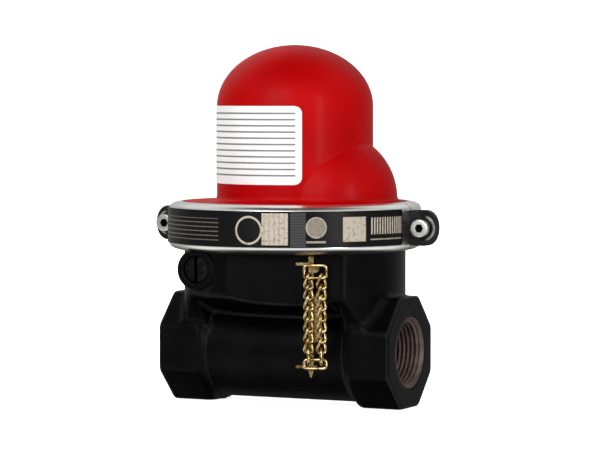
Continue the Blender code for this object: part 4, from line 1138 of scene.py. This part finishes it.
def wire_loop(half_wide, half_high, corner, centre, turn, twist=0.0):
    """A closed loop of round wire, standing up at a bearing.

    Its path goes round a box with round corners: each corner's middle plus the corner radius
    times cosine and sine. The wire's section is a circle across the path. A twist turns the
    loop's top by that much and its foot as far the other way, in proportion to the height.
    """
    angle = round_turns(link_steps)
    across = (half_wide - corner) * np.clip(np.cos(angle) * 6, -1, 1) + corner * np.cos(angle)
    upward = (half_high - corner) * np.clip(np.sin(angle) * 6, -1, 1) + corner * np.sin(angle)
    path = np.stack([across, upward], axis=1)
    heading = np.roll(path, -1, 0) - np.roll(path, 1, 0)
    heading /= np.linalg.norm(heading, axis=1, keepdims=True)
    outward = np.stack([heading[:, 1], -heading[:, 0]], axis=1)
    round_wire = round_turns(wire_steps)
    flat = path[:, None] + wire_radius * np.cos(round_wire)[None, :, None] * outward[:, None]
    depth = wire_radius * np.sin(round_wire)[None, :] + 0 * flat[..., 0]
    leant = turn + twist * flat[..., 1] / half_high
    sideways, forth = np.cos(leant), np.sin(leant)
    x = flat[..., 0] * sideways - depth * forth
    y = flat[..., 0] * forth + depth * sideways
    return np.stack([x, y, flat[..., 1]], axis=-1) + np.asarray(centre)


loops = []
for strand in ("left", "right"):
    for k in range(1, 9):
        turn, twist = (2 * half_twist, 0.0) if k == 8 else (half_twist, half_twist)
        shape = link_half_wide, link_half_wide, turn, twist
        loops.append((f"chain_link_{strand}_{k:02d}", f"brass_link_{strand}_{k:02d}", *shape))
loops.append(("chain_bail", "brass_bail", bail_half_wide, bail_corner, 0.0, 0.0))
loops.append(("chain_end_ring", "brass_end_ring", bail_half_wide, bail_corner, 0.0, 0.0))
for node, name, half_wide, corner, turn, twist in loops:
    low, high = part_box(node)
    centre = (np.array(low) + np.array(high)) / 2
    half_high = (high.z - low.z) / 2 - wire_radius
    skin(
        name,
        wire_loop(half_wide, half_high, corner, centre, facet_turn + turn, twist),
        brass_wire,
        "chain",
        [node],
        wrap_rows=True,
        sharp=80,
    )


def refinish(nodes, finish):
    """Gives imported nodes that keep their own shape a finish."""
    for node in nodes:
        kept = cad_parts[node]
        kept.data.materials.clear()
        kept.data.materials.append(finish)


refinish(("chain_anchor", "reset_key"), brass_wire)


# THE INSIDES. The seat, flapper, trip ring, pedestal and ball are sealed in, and keep their
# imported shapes. Turned brass, ground steel, zinc plate and moulded rubber finish them.

turned_brass, place, fill = material("turned_brass", metallic=1.0)
lines = place.noise(1800.0, 2.0)
cloud = place.noise(300.0, 3.0)
fill(
    base_color=cloud.step(0.3, 0.8).mix(colour(206, 172, 104), colour(168, 132, 66)),
    roughness=0.24 + cloud * 0.18,
    normal=lines.bump(0.00002, 0.5),
)
ground_steel, place, fill = material("ground_steel", metallic=1.0)
cloud = place.noise(500.0, 3.0)
fill(
    base_color=cloud.step(0.3, 0.8).mix(colour(216, 216, 218), colour(190, 190, 192)),
    roughness=0.08 + cloud * 0.10,
    normal=place.noise(3000.0).bump(0.00001, 0.4),
)
moulded_rubber, place, fill = material("moulded_rubber", specular_ior_level=0.3)
cloud = place.noise(600.0, 3.0)
fill(
    base_color=cloud.step(0.3, 0.8).mix(colour(24, 24, 24), colour(38, 37, 36)),
    roughness=0.66 + cloud * 0.2,
    normal=place.noise(2200.0).bump(0.00004, 0.6),
)
refinish(("seat_ring", "flapper_disc", "flapper_arm", "seal_retainer"), turned_brass)
refinish(("shaft_front_bushing", "shaft_rear_bushing"), turned_brass)
refinish(("steel_ball",), ground_steel)
refinish(("cap_gasket", "flapper_seal", "shaft_o_ring"), moulded_rubber)
refinish(("carrier_plate", "pedestal", "pedestal_nut"), zinc_plate)
refinish(("flapper_screw", "trip_ring", "trip_spring"), zinc_plate)


# THE STAGE. The valve stands on a pale paper sweep that curves up behind it. Only the camera
# sees the paper, so that its light stays out of the black paint's lower faces.

sweep_half_width = 4.0
sweep_bend = 0.8
sweep_back = 2.0
sweep_front = -4.0
sweep_top = 2.4
foot_gap = 0.0001
bend_turn = np.linspace(0.0, math.pi / 2, 24)
bend_back = sweep_back + sweep_bend * np.sin(bend_turn)
back = np.concatenate([[sweep_front], bend_back, [sweep_back + sweep_bend]])
rise = np.concatenate([[0.0], sweep_bend * (1 - np.cos(bend_turn)), [sweep_top]]) - foot_gap
side = np.linspace(-sweep_half_width, sweep_half_width, 2)[None, :]
away = np.array([-math.sin(view_azimuth), math.cos(view_azimuth)])
across = np.array([math.cos(view_azimuth), math.sin(view_azimuth)])
paper_points = np.stack(
    [
        back[:, None] * away[0] + side * across[0],
        back[:, None] * away[1] + side * across[1],
        rise[:, None] + 0 * side,
    ],
    axis=-1,
)
paper_white, place, fill = material("sweep_paper", specular_ior_level=0.1, emission_strength=0.86)
fill(
    base_color=place.noise(6.0).mix(colour(240, 240, 240), colour(244, 244, 244)),
    emission_color=colour(255, 255, 255),
    roughness=0.9 + place.noise(30.0) * 0.05,
)
sweep_mesh = bpy.data.meshes.new("paper_sweep")
sweep_faces = grid_faces(len(back), 2, wrap_columns=False)
sweep_mesh.from_pydata(paper_points.reshape(-1, 3).tolist(), [], sweep_faces.tolist())
sweep_mesh.shade_smooth()
sweep_mesh.materials.append(paper_white)
sweep = bpy.data.objects.new("paper_sweep", sweep_mesh)
bpy.context.scene.collection.objects.link(sweep)
sweep.visible_glossy = False
sweep.visible_diffuse = False


# THE CAMERA AND THE LIGHT. A long lens looks from a little above the band. A large soft box
# stands on the left, a narrow one on the right, and one behind for the cap's rim. The air is
# a white tent, brightest low in front, and dark straight up and down. The camera sees white.

view_elevation = math.radians(2.7)
view_distance = 1.13
aim_right = 0.002
aim_height = 0.0720
aim = np.array([aim_right * across[0], aim_right * across[1], aim_height])
towards = np.array([
    math.sin(view_azimuth) * math.cos(view_elevation),
    -math.cos(view_azimuth) * math.cos(view_elevation),
    math.sin(view_elevation),
])
camera_data = bpy.data.cameras.new("camera")
camera_data.lens = 167.4
camera_data.sensor_width = 36.0
camera_data.clip_start = 0.05
camera = bpy.data.objects.new("camera", camera_data)
bpy.context.scene.collection.objects.link(camera)


def aimed(thing, place, target):
    """Stands a camera or a lamp at a place and points it at a target."""
    thing.location = place
    thing.rotation_euler = (Vector(target) - Vector(place)).to_track_quat("-Z", "Y").to_euler()


aimed(camera, (aim + view_distance * towards).tolist(), aim.tolist())
bpy.context.scene.camera = camera


def soft_box(name, sideways, forward, height, width, length, power):
    """A rectangular lamp, placed across and towards the camera from the valve, and aimed at it."""
    lamp_data = bpy.data.lights.new(name, "AREA")
    lamp_data.shape = "RECTANGLE"
    lamp_data.size = width
    lamp_data.size_y = length
    lamp_data.energy = power
    lamp = bpy.data.objects.new(name, lamp_data)
    bpy.context.scene.collection.objects.link(lamp)
    ground = sideways * across - forward * away
    aimed(lamp, (ground[0], ground[1], height), (0.0, 0.0, 0.07))
    return lamp


soft_box("key_box", -0.48, 1.05, 0.56, width=0.8, length=0.8, power=9.5)
soft_box("strip_box", 0.72, 0.98, 0.16, width=0.12, length=0.9, power=7.0)
back_box = soft_box("back_box", -0.55, -1.05, 0.62, width=0.9, length=0.9, power=12.0)
back_box.visible_glossy = False

world = bpy.data.worlds.new("studio_air")
world.use_nodes = True
air = Wire(world.node_tree)
x, y, z = air.node("TexCoord", output="Generated").split()
behind = (x * float(away[0]) + y * float(away[1])).step(0.15, 0.95)
above = z.step(-0.34, -0.10)
high = z.step(0.94, 0.76)
low = z.step(-0.84, -0.66)
lift = z.step(0.25, 0.6)
side_glow, back_glow, top_glow = 0.20, 0.22, 0.38
floor_glow, floor_fall = 0.92, 0.87
least_glow = 0.03
walls = above * high * (side_glow + behind * back_glow + lift * top_glow)
tent = walls + (1 - above) * low * (floor_glow - behind * floor_fall)
seen = air.node("LightPath", output="Is Camera Ray")
background = world.node_tree.nodes["Background"]
air.put(background.inputs["Strength"], (least_glow + tent) * (1 - seen) + seen)
background.inputs["Color"].default_value = (1.0, 1.0, 1.0, 1.0)
bpy.context.scene.world = world
bpy.context.scene.view_settings.view_transform = "Standard"
